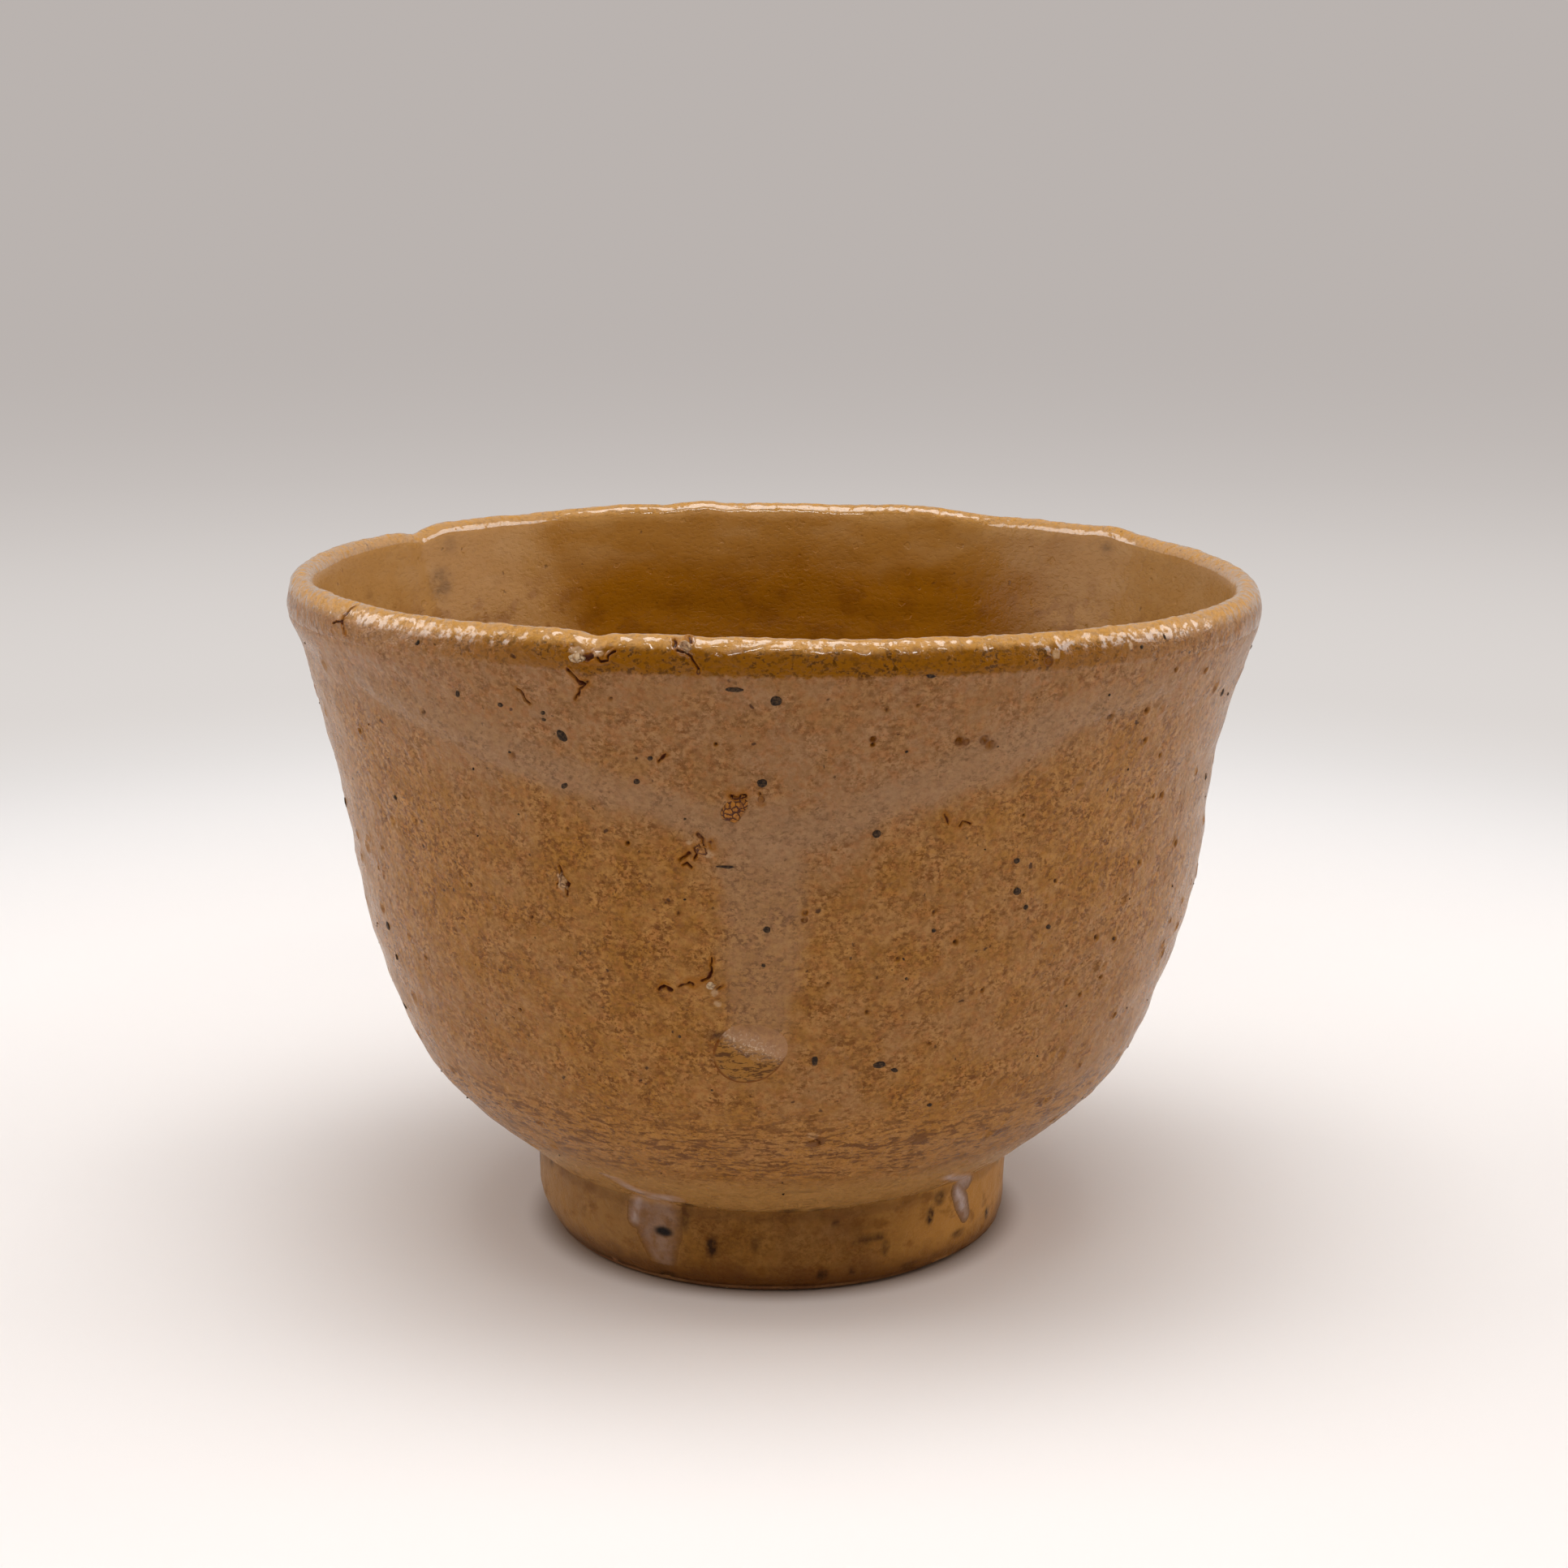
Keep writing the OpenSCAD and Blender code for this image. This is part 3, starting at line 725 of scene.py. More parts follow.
def patchShell(name, look, plan, azRange, runRange, edgeOf, extra=None):
    # closed blob of glaze on the wall, kept where edgeOf is below its margin
    margin, step = 0.45, plan["step"]
    across = int((azRange[1] - azRange[0]) * radiusAt(np.mean(runRange)) / step)
    along = int((runRange[1] - runRange[0]) / step)
    az, run = np.meshgrid(np.linspace(*azRange, across + 1), np.linspace(*runRange, along + 1))
    az, run = az.ravel(), run.ravel()
    inside = edgeOf(az, run) < margin
    index = np.arange(len(az)).reshape(along + 1, across + 1)
    cells = np.stack([index[:-1, :-1], index[:-1, 1:], index[1:, 1:], index[1:, :-1]], -1).reshape(-1, 4)
    cells = cells[inside[cells].all(1)]
    used = np.unique(cells)
    new = np.full(len(az), -1)
    new[used] = np.arange(len(used))
    cells = new[cells]
    az, run = az[used], run[used]
    height, masks = coatRelief(az, run)
    edge = edgeOf(az, run)
    if extra is not None:
        masks.update(extra(az, run))
    top = place(az, run, height + lifted(plan, edge))
    under = place(az, run, height - plan["deep"])
    count = len(used)
    faces = cells.tolist() + (cells[:, ::-1] + count).tolist()
    sides = {}
    for cell in cells.tolist():
        for a, b in zip(cell, cell[1:] + cell[:1]):
            if (b, a) in sides:
                del sides[(b, a)]
            else:
                sides[(a, b)] = True
    faces += [[b, a, a + count, b + count] for a, b in sides]
    masks = {key: np.r_[v, v] for key, v in masks.items()}
    makePiece(name, look, np.vstack([top, under]), faces, masks)


class Wire:
    # a socket that takes part in sums, each of which adds a Math node
    def __init__(self, paint, socket):
        self.paint = paint
        self.socket = socket

    def sum(self, operation, *others):
        return self.paint.node("ShaderNodeMath", {"operation": operation}, dict(enumerate((self, *others))))

    def __add__(self, other):
        return self.sum("ADD", other)

    def __mul__(self, other):
        return self.sum("MULTIPLY", other)

    def __sub__(self, other):
        return self.sum("SUBTRACT", other)

    def __rsub__(self, other):
        return self.paint.node("ShaderNodeMath", {"operation": "SUBTRACT"}, {0: other, 1: self})

    __radd__ = __add__
    __rmul__ = __mul__

    def most(self, other):
        return self.sum("MAXIMUM", other)

    def least(self, other):
        return self.sum("MINIMUM", other)

    def step(self, low, high):
        # 0 at low, 1 at high
        return self.paint.node("ShaderNodeMapRange", {"interpolation_type": "SMOOTHSTEP"},
                               {0: self, 1: low, 2: high, 3: 0.0, 4: 1.0})


class Paint:
    # one material, with its nodes added as they are asked for
    def __init__(self, name):
        self.material = bpy.data.materials.new(name)
        self.material.use_nodes = True
        self.tree = self.material.node_tree
        self.tree.nodes.clear()
        spot = self.node("ShaderNodeTexCoord", out="Object")
        self.place = self.node("ShaderNodeVectorMath", {"operation": "SCALE"}, {0: spot, "Scale": 1 / mm})

    def node(self, kind, settings=None, sockets=None, out=0):
        made = self.tree.nodes.new(kind)
        for key, value in (settings or {}).items():
            setattr(made, key, value)
        for key, value in (sockets or {}).items():
            if isinstance(value, Wire):
                self.tree.links.new(value.socket, made.inputs[key])
            else:
                made.inputs[key].default_value = value
        return made if out is None else Wire(self, made.outputs[out])

    def mask(self, name):
        return self.node("ShaderNodeAttribute", {"attribute_name": name}, out="Fac")

    def moved(self, vector, by, shift):
        # vector times by, plus shift
        return self.node("ShaderNodeVectorMath", {"operation": "MULTIPLY_ADD"}, {0: vector, 1: by, 2: shift})

    def along(self, axis):
        # mm from the middle of the foot along one axis
        return self.node("ShaderNodeSeparateXYZ", None, {0: self.place}, out=axis)

    def cloud(self, size, detail=2.0, rough=0.5, shape=(1, 1, 1), shift=(0, 0, 0), warp=0.0):
        # noise from 0 to 1 with lumps of about size mm
        return self.node("ShaderNodeTexNoise", None, {
            "Vector": self.moved(self.place, shape, shift), "Scale": 1 / size, "Detail": detail,
            "Roughness": rough, "Distortion": warp})

    def sway(self, amount, *cloud, **more):
        # noise about zero, amount from low to high
        return (self.cloud(*cloud, **more) - 0.5) * amount

    def dots(self, pitch, radius, share, shift=(0, 0, 0)):
        # ragged dots, one to a cell at most: only that share of the cells has one
        at = self.moved(self.place, (1, 1, 1), shift)
        ragged = self.node("ShaderNodeTexNoise", None, {"Vector": at, "Scale": 2.5 / pitch}, out=1)
        at = self.moved(ragged, (pitch * 0.5,) * 3, at)
        cell = self.node("ShaderNodeTexVoronoi", None, {"Vector": at, "Scale": 1 / pitch}, out=None)
        pick = self.node("ShaderNodeSeparateColor", None, {0: Wire(self, cell.outputs["Color"])})
        shown = pick.step(1 - share - 0.02, 1 - share + 0.02)
        half = radius / pitch
        return Wire(self, cell.outputs["Distance"]).step(half * 1.25, half * 0.7) * shown

    def mixed(self, share, low, high, way="MIX"):
        return self.node("ShaderNodeMix", {"data_type": "RGBA", "blend_type": way},
                         {0: share, 6: low, 7: high}, out=2)

    def over(self, colour, name, share):
        # a named tone over a colour
        return self.mixed(share, colour, tones[name])

    def shaded(self, colour, amount):
        # colour made darker or lighter by a factor
        grey = self.node("ShaderNodeCombineColor", None, {0: amount, 1: amount, 2: amount})
        return self.mixed(1.0, colour, grey, "MULTIPLY")

    def bump(self, height):
        # height in mm
        return self.node("ShaderNodeBump", None, {"Height": height, "Strength": 1.0, "Distance": mm})

    def done(self, colour, rough, normal, **more):
        sockets = {"Base Color": colour, "Roughness": rough, "Normal": normal, "Specular IOR Level": 0.3}
        sockets.update({key.replace("_", " "): value for key, value in more.items()})
        shader = self.node("ShaderNodeBsdfPrincipled", None, sockets)
        self.node("ShaderNodeOutputMaterial", None, {0: shader}, out=None)
        return self.material


def tone(red, green, blue):
    # a colour as read off a screen, 0 to 255
    shares = (c / 255 for c in (red, green, blue))
    return (*(((c + 0.055) / 1.055) ** 2.4 if c > 0.04 else c / 12.92 for c in shares), 1)


# Colours of the finishes, as read off a screen
screen = {
    # the outside of the bowl and its lip
    "ochre": (157, 111, 55), "ochreDeep": (142, 94, 24), "pink": (149, 110, 73), "pale": (151, 115, 81),
    "brown": (102, 56, 2), "rust": (150, 90, 40), "dot": (66, 36, 12), "pit": (56, 28, 8),
    "crack": (74, 26, 4), "flake": (184, 150, 112), "amber": (146, 88, 10), "lipTop": (200, 146, 70),
    "olive": (128, 78, 0), "underBowl": (178, 124, 58), "stroke": (86, 44, 8),
    "jointBand": (182, 136, 78),
    # the well, whose tan and pale tones also carry painted sheen
    "well": (142, 87, 0), "wellTanAndSheen": (172, 124, 62), "wellPaleSheen": (190, 152, 104),
    "wellDeep": (118, 66, 0), "smudge": (96, 64, 26),
    # the foot, with lit tones painted on its sides and painted shade in its groove
    "footBrown": (104, 65, 20), "footTan": (130, 89, 36), "footRightLit": (192, 136, 64),
    "footLeftLit": (160, 120, 74), "footLow": (92, 52, 18), "footGrooveShade": (98, 60, 24),
    "footStain": (52, 28, 6),
    # bare clay
    "clay": (150, 108, 66), "clayRed": (128, 84, 48), "grit": (86, 52, 28), "clayPale": (196, 168, 128),
    "slip": (120, 78, 46),
    # the run and its bead
    "frost": (206, 178, 148), "frostMilk": (172, 136, 106), "beadAmber": (152, 104, 40),
    "beadWorm": (72, 38, 4), "beadRim": (110, 58, 0), "beadPale": (166, 126, 94),
    "beadStain": (92, 52, 14),
    # the drips
    "dripFoot": (116, 76, 30), "dripWall": (176, 126, 64), "milk": (190, 169, 161),
    "dripBrown": (124, 80, 42), "dripStain": (66, 40, 14), "ironSpot": (22, 17, 15),
    # stones and specks
    "stone": (196, 168, 132), "stoneTan": (156, 116, 72), "stoneAmber": (168, 106, 28),
    "stoneDeep": (128, 74, 10), "stoneCraze": (72, 26, 4), "speck": (44, 35, 29),
    "speckPale": (84, 64, 46),
}
tones = {name: tone(*colour) for name, colour in screen.items()}

# Sizes of the patterns in the glaze, in mm
pattern = {"slow": 13, "above": 5, "patch": 2.6, "gather": 1.7, "rust": 0.62, "mottle": 0.44,
           "fleck": 0.28, "peel": 0.55}


def glazeColour(paint):
    # mottled ochre with brown flecks, pinker and softer above the pale run; returns colour, grain and dots
    slow = paint.cloud(pattern["slow"], 2.0)
    above = (paint.mask("overV") + paint.sway(8, pattern["above"], 2.0, shift=(1, 4, 6))).step(-3.5, 2.5)
    pink = (above * 0.75 + slow.step(0.40, 0.68) * 0.5).least(1.0)
    patch = paint.cloud(pattern["patch"], 3.0, 0.6, shift=(11, 3, 5))
    colour = paint.mixed(pink, tones["ochre"], tones["pink"])
    colour = paint.over(colour, "ochreDeep", patch.step(0.42, 0.62) * (1 - pink * 0.6) * 0.7)
    rust = paint.cloud(pattern["rust"], 3.0, 0.6, shift=(12, 1, 7)).step(0.44, 0.66)
    colour = paint.over(colour, "rust", rust * 0.4)
    mottle = paint.cloud(pattern["mottle"], 5.0, 0.76, shift=(3, 3, 5)).step(0.39, 0.61)
    gather = paint.cloud(pattern["gather"], 3.0, 0.6, shift=(7, 7, 1)).step(0.36, 0.64)
    dark = paint.mixed(1.0, colour, (0.66, 0.57, 0.38, 1), "MULTIPLY")
    mottled = paint.mixed(mottle, dark, paint.shaded(colour, 1.3))
    colour = paint.mixed(0.5 + gather * 0.5 - pink * 0.22, colour, mottled)
    fleck = paint.cloud(pattern["fleck"], 3.0, 0.66, (0.75, 0.75, 1.05), (5, 9, 2))
    grain = fleck.step(0.52, 0.58) * (0.35 + gather * 0.65)
    colour = paint.over(colour, "brown", grain * (0.86 - pink * 0.34))
    dots = paint.dots(0.95, 0.09, 0.5) * 0.75
    dots = dots.most(paint.dots(2.0, 0.16, 0.5, shift=(4, 8, 1)) * 0.9)
    return colour, grain, dots


def marked(paint, colour, dots):
    # dots, amber stains, pits, flakes and cracks over a colour
    colour = paint.over(colour, "dot", dots)
    colour = paint.over(colour, "amber", paint.mask("amber") * 0.9)
    broken = paint.cloud(0.3, 2.0, 0.6, shift=(3, 8, 2)).step(0.3, 0.6)
    colour = paint.over(colour, "flake", paint.mask("flake") * (0.35 + broken * 0.4))
    colour = paint.over(colour, "pit", paint.mask("pit"))
    return paint.over(colour, "crack", paint.mask("crack") * 0.95)


def paleOver(paint, colour, grain):
    # the pale run: milky and nearly without grain, with a soft edge
    ragged = paint.mask("pale") + paint.sway(2.2, 1.6, 3.0, 0.6, shift=(2, 2, 7))
    share = ragged.step(0.5, -1.3)
    fine = paint.sway(1.5, 0.4, 5.0, 0.74, (0.7, 0.7, 1.1), (4, 4, 4))
    milk = paint.shaded(tones["pale"], 1.0 + fine - grain * 0.3)
    stem = paint.mask("overV").step(-7, -1)
    return paint.mixed(share * (0.44 + stem * 0.12), colour, milk), share


def glazeBump(paint, grain, dots, peelShare=1.0):
    peel = paint.cloud(pattern["peel"], 3.0, 0.6, (0.8, 0.8, 1), (3, 1, 9))
    dent = paint.dots(1.5, 0.26, 0.45, shift=(9, 2, 6))
    return paint.bump(peel * (0.10 * peelShare) - grain * 0.012 - dots * 0.02 - dent * 0.03)


def patchyRough(paint, least, spread, size=2.4):
    return least + paint.cloud(size, 2.0, shift=(8, 8, 8)) * spread


def ochreGlaze(paint):
    colour, grain, dots = glazeColour(paint)
    colour, share = paleOver(paint, colour, grain)
    colour = marked(paint, colour, dots * (1 - share * 0.5))
    colour = paint.mixed(lipBand(paint), colour, paint.shaded(tones["olive"], 1.08 - grain * 0.6))
    up = paint.mask("aboveJoint") + paint.sway(1.6, 2.5, 2.0, shift=(4, 1, 9))
    low = up.step(17, 13) * up.step(5.5, 8.5)
    streak = paint.cloud(0.36, 3.0, 0.7, (0.36, 0.36, 1.3), (1, 6, 3)).step(0.53, 0.58)
    stroke = paint.cloud(0.8, 4.0, 0.66, (0.34, 0.34, 1.2), (7, 2, 5), 0.6).step(0.56, 0.60)
    # lighter under the bowl with dark strokes, and a pale band at the joint
    colour = paint.mixed(low * 0.4, colour, paint.shaded(tones["underBowl"], 1.0 - grain * 0.25))
    colour = paint.over(colour, "stroke", low * streak.most(stroke) * 0.72)
    band = paint.shaded(tones["jointBand"], 1.0 - grain * 0.2)
    colour = paint.mixed(up.step(8, 4.5) * 0.75, colour, band)
    colour = paint.over(colour, "dot", paint.mask("stain"))
    rough = patchyRough(paint, 0.2, 0.14) + paint.mask("crack") * 0.4
    return paint.done(colour, rough, glazeBump(paint, grain, dots), Specular_IOR_Level=0.16)


def lipBand(paint):
    # olive band on the outer face of the lip, crisp below at the front and faint at the sides
    down = paint.mask("fromCrest") + paint.sway(0.9, 0.8, 3.0, 0.65, shift=(6, 2, 1))
    return down.step(-3.05, -2.75) * down.step(-0.9, -1.45) * paint.mask("band") * 0.95


def lipGlaze(paint):
    colour, grain, dots = glazeColour(paint)
    down = paint.mask("fromCrest")
    top = down.step(-2.0, -0.9) * down.step(2.2, 1.0)
    pale = paint.shaded(tones["lipTop"], 1.0 - grain * 0.2)
    colour = paint.mixed(top * 0.85, colour, pale)
    colour = paint.mixed(down.step(0.9, 2.1), colour, insideColour(paint, grain))
    olive = paint.shaded(tones["olive"], 1.08 - grain * 0.7)
    colour = paint.mixed(lipBand(paint), colour, olive)
    colour = marked(paint, colour, dots * (1 - top * 0.5))
    rough = patchyRough(paint, 0.05, 0.06, 1.2) + paint.mask("crack") * 0.4
    broken = paint.cloud(0.55, 3.0, 0.6, shift=(4, 6, 6)) + down.step(0, 0.8) * 0.09
    wet = down.step(-1.9, -1.35) * down.step(2.2, 1.2) * broken.step(0.45, 0.56)
    return paint.done(colour, rough, glazeBump(paint, grain, dots, 1.3), Specular_IOR_Level=0.2,
                      Coat_Weight=wet, Coat_IOR=1.9, Coat_Roughness=0.06)


def insideColour(paint, grain):
    # deep amber, going to tan near the lip; the tan round the two sides and the pale patches are painted
    # sheen, and the right is painted shade
    depth = paint.mask("fromCrest") + paint.sway(4, 5, 3.0, 0.55, (1, 1, 0.6), (5, 5, 2))
    tan = depth.step(7.5, 3.0) * 0.5
    # the tan round the two sides of the well is painted sheen
    tan = tan.most(paint.mask("side") * depth.step(22, 9) * 0.9).most(depth.step(3.2, 0.8))
    colour = paint.mixed(tan, tones["well"], tones["wellTanAndSheen"])
    # pale patches near the lip are painted sheen
    patch = paint.cloud(3.0, 3.0, 0.55, (0.5, 0.5, 1.1), (6, 6, 6)).step(0.42, 0.64)
    colour = paint.over(colour, "wellPaleSheen", patch * depth.step(8, 3) * 0.2)
    deep = paint.cloud(2.2, 3.0, 0.6, (0.8, 0.8, 1.1), (1, 2, 6)).step(0.48, 0.64)
    colour = paint.over(colour, "wellDeep", deep * depth.step(4, 9) * 0.5)
    broken = paint.cloud(1.3, 3.0, 0.6, shift=(4, 1, 2)).step(0.35, 0.62)
    colour = paint.over(colour, "smudge", paint.mask("stain") * (0.2 + broken * 0.5))
    # painted shade: the well darkens towards the right
    across = paint.along("X")
    return paint.shaded(colour, 1.0 - grain * 0.08 - across.step(6, 28) * 0.15)


def amberGlaze(paint):
    grain = paint.cloud(0.34, 3.0, 0.62, (0.62, 0.62, 1.15)).step(0.46, 0.66)
    dots = paint.dots(1.6, 0.14, 0.3) * 0.5
    colour = paint.mixed(dots, insideColour(paint, grain), tones["dot"])
    rough = patchyRough(paint, 0.16, 0.12)
    return paint.done(colour, rough, glazeBump(paint, grain, dots, 0.4), Specular_IOR_Level=0.14)


def footGlaze(paint):
    colour, grain, dots = glazeColour(paint)
    tan = paint.cloud(3.2, 2.0, 0.5, shift=(3, 3, 8)).step(0.36, 0.6)
    colour = paint.mixed(0.6, colour, paint.mixed(tan, tones["footBrown"], tones["footTan"]))
    # painted light: the front of the foot is lighter towards its right and left sides
    across = paint.along("X")
    front = paint.along("Y").step(5, -8)
    colour = paint.over(colour, "footRightLit", across.step(5, 14) * front * 0.7)
    colour = paint.over(colour, "footLeftLit", across.step(-5, -13) * front * 0.5)
    up = paint.mask("aboveJoint")
    cloudy = paint.cloud(1.5, 3.0, 0.6, (0.7, 0.7, 1), (2, 7, 5))
    colour = paint.over(colour, "brown", cloudy.step(0.54, 0.7) * 0.5)
    low = (up + (cloudy - 0.5) * 2.5).step(-3.6, -5.8)
    colour = paint.over(colour, "footLow", low * 0.75)
    # painted shade in the groove just under the joint
    groove = up + paint.sway(0.8, 2.2, 2.0, shift=(9, 9, 3))
    colour = paint.over(colour, "footGrooveShade", groove.step(-1.0, -0.55) * groove.step(0.1, -0.25) * 0.3)
    broken = paint.cloud(0.5, 2.0, 0.6, shift=(5, 2, 2)).step(0.3, 0.6)
    colour = paint.over(colour, "footStain", (paint.mask("stain") * (0.7 + broken * 0.6)).least(1.0))
    rough = 0.26 + cloudy * 0.2
    return paint.done(colour, rough, glazeBump(paint, grain, dots, 0.6), Specular_IOR_Level=0.1)


def bareClay(paint):
    slow = paint.cloud(5, 3.0)
    grain = paint.cloud(0.3, 3.0, 0.7)
    colour = paint.mixed(slow.step(0.35, 0.65), tones["clay"], tones["clayRed"])
    colour = paint.shaded(colour, 1.0 + (grain - 0.5) * 1.1)
    grit = paint.dots(1.2, 0.16, 0.4)
    colour = paint.over(colour, "grit", grit * 0.8)
    pale = paint.dots(1.7, 0.2, 0.3, shift=(3, 3, 3))
    colour = paint.over(colour, "clayPale", pale * 0.7)
    return paint.done(colour, 0.72 + grain * 0.15, paint.bump(grain * 0.05 - grit * 0.05 + pale * 0.04))


def slipClay(paint):
    grain = paint.cloud(0.4, 3.0, 0.7)
    colour = paint.shaded(tones["slip"], 1.0 + (grain - 0.5) * 0.8)
    return paint.done(colour, 0.8, paint.bump(grain * 0.03))


def frosted(paint, colour):
    # the whitish line across the bead
    frost = (paint.mask("frost") + paint.sway(0.9, 0.9, 3.0, 0.65)).step(-0.5, 0.7)
    glint = paint.cloud(0.2, 3.0, 0.65, shift=(2, 9, 9)).step(0.52, 0.64)
    colour = paint.over(colour, "frostMilk", frost * 0.5)
    return paint.mixed(frost * glint * 0.8, colour, tones["frost"]), frost


def beadGlaze(paint):
    colour, grain, dots = glazeColour(paint)
    edge = paint.mask("beadEdge")
    worm = paint.cloud(0.4, 3.0, 0.65, (0.5, 0.5, 1.5), (3, 5, 8), 1.0).step(0.50, 0.58)
    amber = paint.mixed(worm * 0.95, tones["beadAmber"], tones["beadWorm"])
    under = paint.mask("underFrost").step(-0.3, 0.3)
    colour = paint.mixed(edge.step(0.05, -0.25) * under * 0.9, colour, amber)
    rim = edge.step(0.14, 0.02) * edge.step(-0.32, -0.12) * under
    colour = paint.over(colour, "beadRim", rim * paint.cloud(1.2, 2.0).step(0.2, 0.45))
    colour = paint.over(colour, "beadPale", (1 - under) * 0.6)
    colour = paint.over(colour, "beadStain", paint.mask("stain") * 0.8)
    colour, frost = frosted(paint, colour)
    return paint.done(colour, 0.15 + frost * 0.2, glazeBump(paint, grain, dots), Specular_IOR_Level=0.14)


def paleGlaze(paint):
    colour, grain, dots = glazeColour(paint)
    colour, share = paleOver(paint, colour, grain)
    colour = marked(paint, colour, dots * (1 - share * 0.5))
    colour, frost = frosted(paint, colour)
    rough = patchyRough(paint, 0.16, 0.12) + frost * 0.25 + paint.mask("crack") * 0.4
    return paint.done(colour, rough, glazeBump(paint, grain, dots), Specular_IOR_Level=0.2)


def dripGlaze(paint):
    colour, grain, dots = glazeColour(paint)
    onWall = paint.mask("aboveJoint").step(-0.4, 0.3)
    colour = paint.mixed(0.75, colour, paint.mixed(onWall, tones["dripFoot"], tones["dripWall"]))
    patchy = paint.cloud(1.1, 3.0, 0.6, shift=(6, 1, 8)).step(0.34, 0.6)
    milk = paint.shaded(tones["milk"], 1.0 - grain * 0.08)
    colour = paint.mixed((paint.mask("milk") * (0.5 + patchy * 0.7)).least(0.92), colour, milk)
    brown = paint.cloud(0.9, 2.0, 0.5, shift=(1, 9, 4)).step(0.56, 0.68)
    colour = paint.over(colour, "dripBrown", brown * 0.3)
    colour = paint.over(colour, "dripStain", paint.mask("stain") * 0.6)
    colour = paint.over(colour, "ironSpot", paint.mask("ironSpot"))
    return paint.done(colour, 0.2, glazeBump(paint, grain, dots, 0.5), Specular_IOR_Level=0.16)


def feldspar(paint):
    grain = paint.cloud(0.4, 3.0, 0.7)
    sway = paint.node("ShaderNodeTexNoise", None, {"Vector": paint.place, "Scale": 3.0}, out=1)
    warped = paint.moved(sway, (0.3, 0.3, 0.3), paint.moved(paint.place, (1, 1, 1), (3, 1, 4)))
    craze = paint.node("ShaderNodeTexVoronoi", {"feature": "DISTANCE_TO_EDGE"},
                       {"Vector": warped, "Scale": 1 / 0.42})
    colour = paint.mixed(grain.step(0.4, 0.65), tones["stone"], tones["stoneTan"])
    amber = paint.mixed(grain.step(0.42, 0.6), tones["stoneAmber"], tones["stoneDeep"])
    stone = paint.mask("amberStone")
    colour = paint.mixed(stone, colour, amber)
    colour = paint.over(colour, "stoneCraze", craze.step(0.13, 0.05) * (0.3 + stone * 0.65))
    return paint.done(colour, 0.3 + grain * 0.3, paint.bump(grain * 0.05 + craze.step(0.0, 0.14) * 0.06))


def ironSpeck(paint):
    grain = paint.cloud(0.2, 2.0, 0.6)
    colour = paint.mixed(grain.step(0.4, 0.65), tones["speck"], tones["speckPale"])
    return paint.done(colour, 0.45 + grain * 0.2, paint.bump(grain * 0.05), Specular_IOR_Level=0.05)


makers = (ochreGlaze, lipGlaze, amberGlaze, footGlaze, bareClay, slipClay, beadGlaze, paleGlaze, dripGlaze,
          feldspar, ironSpeck)
finish = {make.__name__: make(Paint(make.__name__)) for make in makers}
print("finishes ready:", len(finish))

# Coats on the bowl: columns and step of each seen face, and the lip's roll over the other two, in mm
coats = {
    "outer": (500, 0.45),
    "lip": (1100, 0.16),
    "well": (480, 0.5),
    "overlap": 0.9,     # the roll starts this far below the rim
    "lipEnd": 0.1,      # and ends this far down the well
    "blend": 1.0,
    "roll": 0.008,
    "sink": 0.05,
    "tuck": 0.1,        # the other two dip this far under the roll
    "outerEnd": 0.3,    # the outer coat ends this far over the rim
    "wellStart": 1.0,   # the lining starts this far up the lip
    "hidden": 0.28,     # the hidden face lies this far inside the clay
}
lipLow, lipHigh = runRim - coats["overlap"], runInner + coats["lipEnd"]
bowlHidden = cup["glazeT"] + coats["hidden"]


def sunk(depth):
    # a hidden face at an even depth
    return lambda run: np.full(len(run), -depth)


def lipLift(run):
    rise = smooth(lipLow, lipLow + coats["blend"], run) * smooth(lipHigh, lipHigh - coats["blend"], run)
    return -coats["sink"] + (coats["roll"] + coats["sink"]) * rise


def outerLift(run):
    return -coats["tuck"] * smooth(runRim - 0.4, runRim + coats["outerEnd"], run)


def wellLift(run):
    return -coats["tuck"] * smooth(runInner - 0.3, runInner - coats["wellStart"], run)


def lipUnder(run):
    # shallow where the roll laps over the other two
    out = smooth(runRim + 0.3, runRim - 0.2, run) + smooth(runInner - 0.3, runInner + 0.2, run)
    return -bowlHidden + (cup["glazeT"] + 0.1) * np.clip(out, 0, 1)


coatShell("outer_glaze", "ochreGlaze", coats["outer"], runJoint, runRim + coats["outerEnd"],
          outerLift, sunk(bowlHidden))
coatShell("lip_glaze", "lipGlaze", coats["lip"], lipLow, lipHigh, lipLift, lipUnder)
coatShell("inner_glaze", "amberGlaze", coats["well"], runInner - coats["wellStart"], runEnd,
          wellLift, sunk(bowlHidden), fine=False)

# The foot's glazed face, in mm
foot = {
    "face": (420, 0.28),              # columns and step
    "glazeT": 0.22,
    "bare": 0.5,                      # bare clay below the glaze line
    "rise": 1.0,                      # the glaze comes up to its full height over this length
    "sink": 0.06,
    "hidden": 0.1,
    "past": 0.25,                     # its upper edge lies this far past the joint
    "worn": (0.15, 0.75),             # how far the edge is worn in at the left, at the right
    "wornTurn": (10, 75, 110, 170),   # degrees between which the right is
    "wornZ": 2.4,
}


def wornEdge(az, z):
    start, full, ease, end = (math.radians(a) for a in foot["wornTurn"])
    share = smooth(start, full, az) * smooth(end, ease, az)
    amount = foot["worn"][0] * (1 - share) + foot["worn"][1] * share
    return amount * np.clip(1 - z / foot["wornZ"], 0, 1) ** 2


def footLift(run):
    deep = foot["glazeT"] + foot["sink"]
    return -deep + deep * smooth(foot["bare"], foot["bare"] + foot["rise"], run)


coatShell("foot_glaze", "footGlaze", foot["face"], foot["bare"], runJoint + foot["past"],
          footLift, sunk(foot["glazeT"] + foot["hidden"]), fine=False)


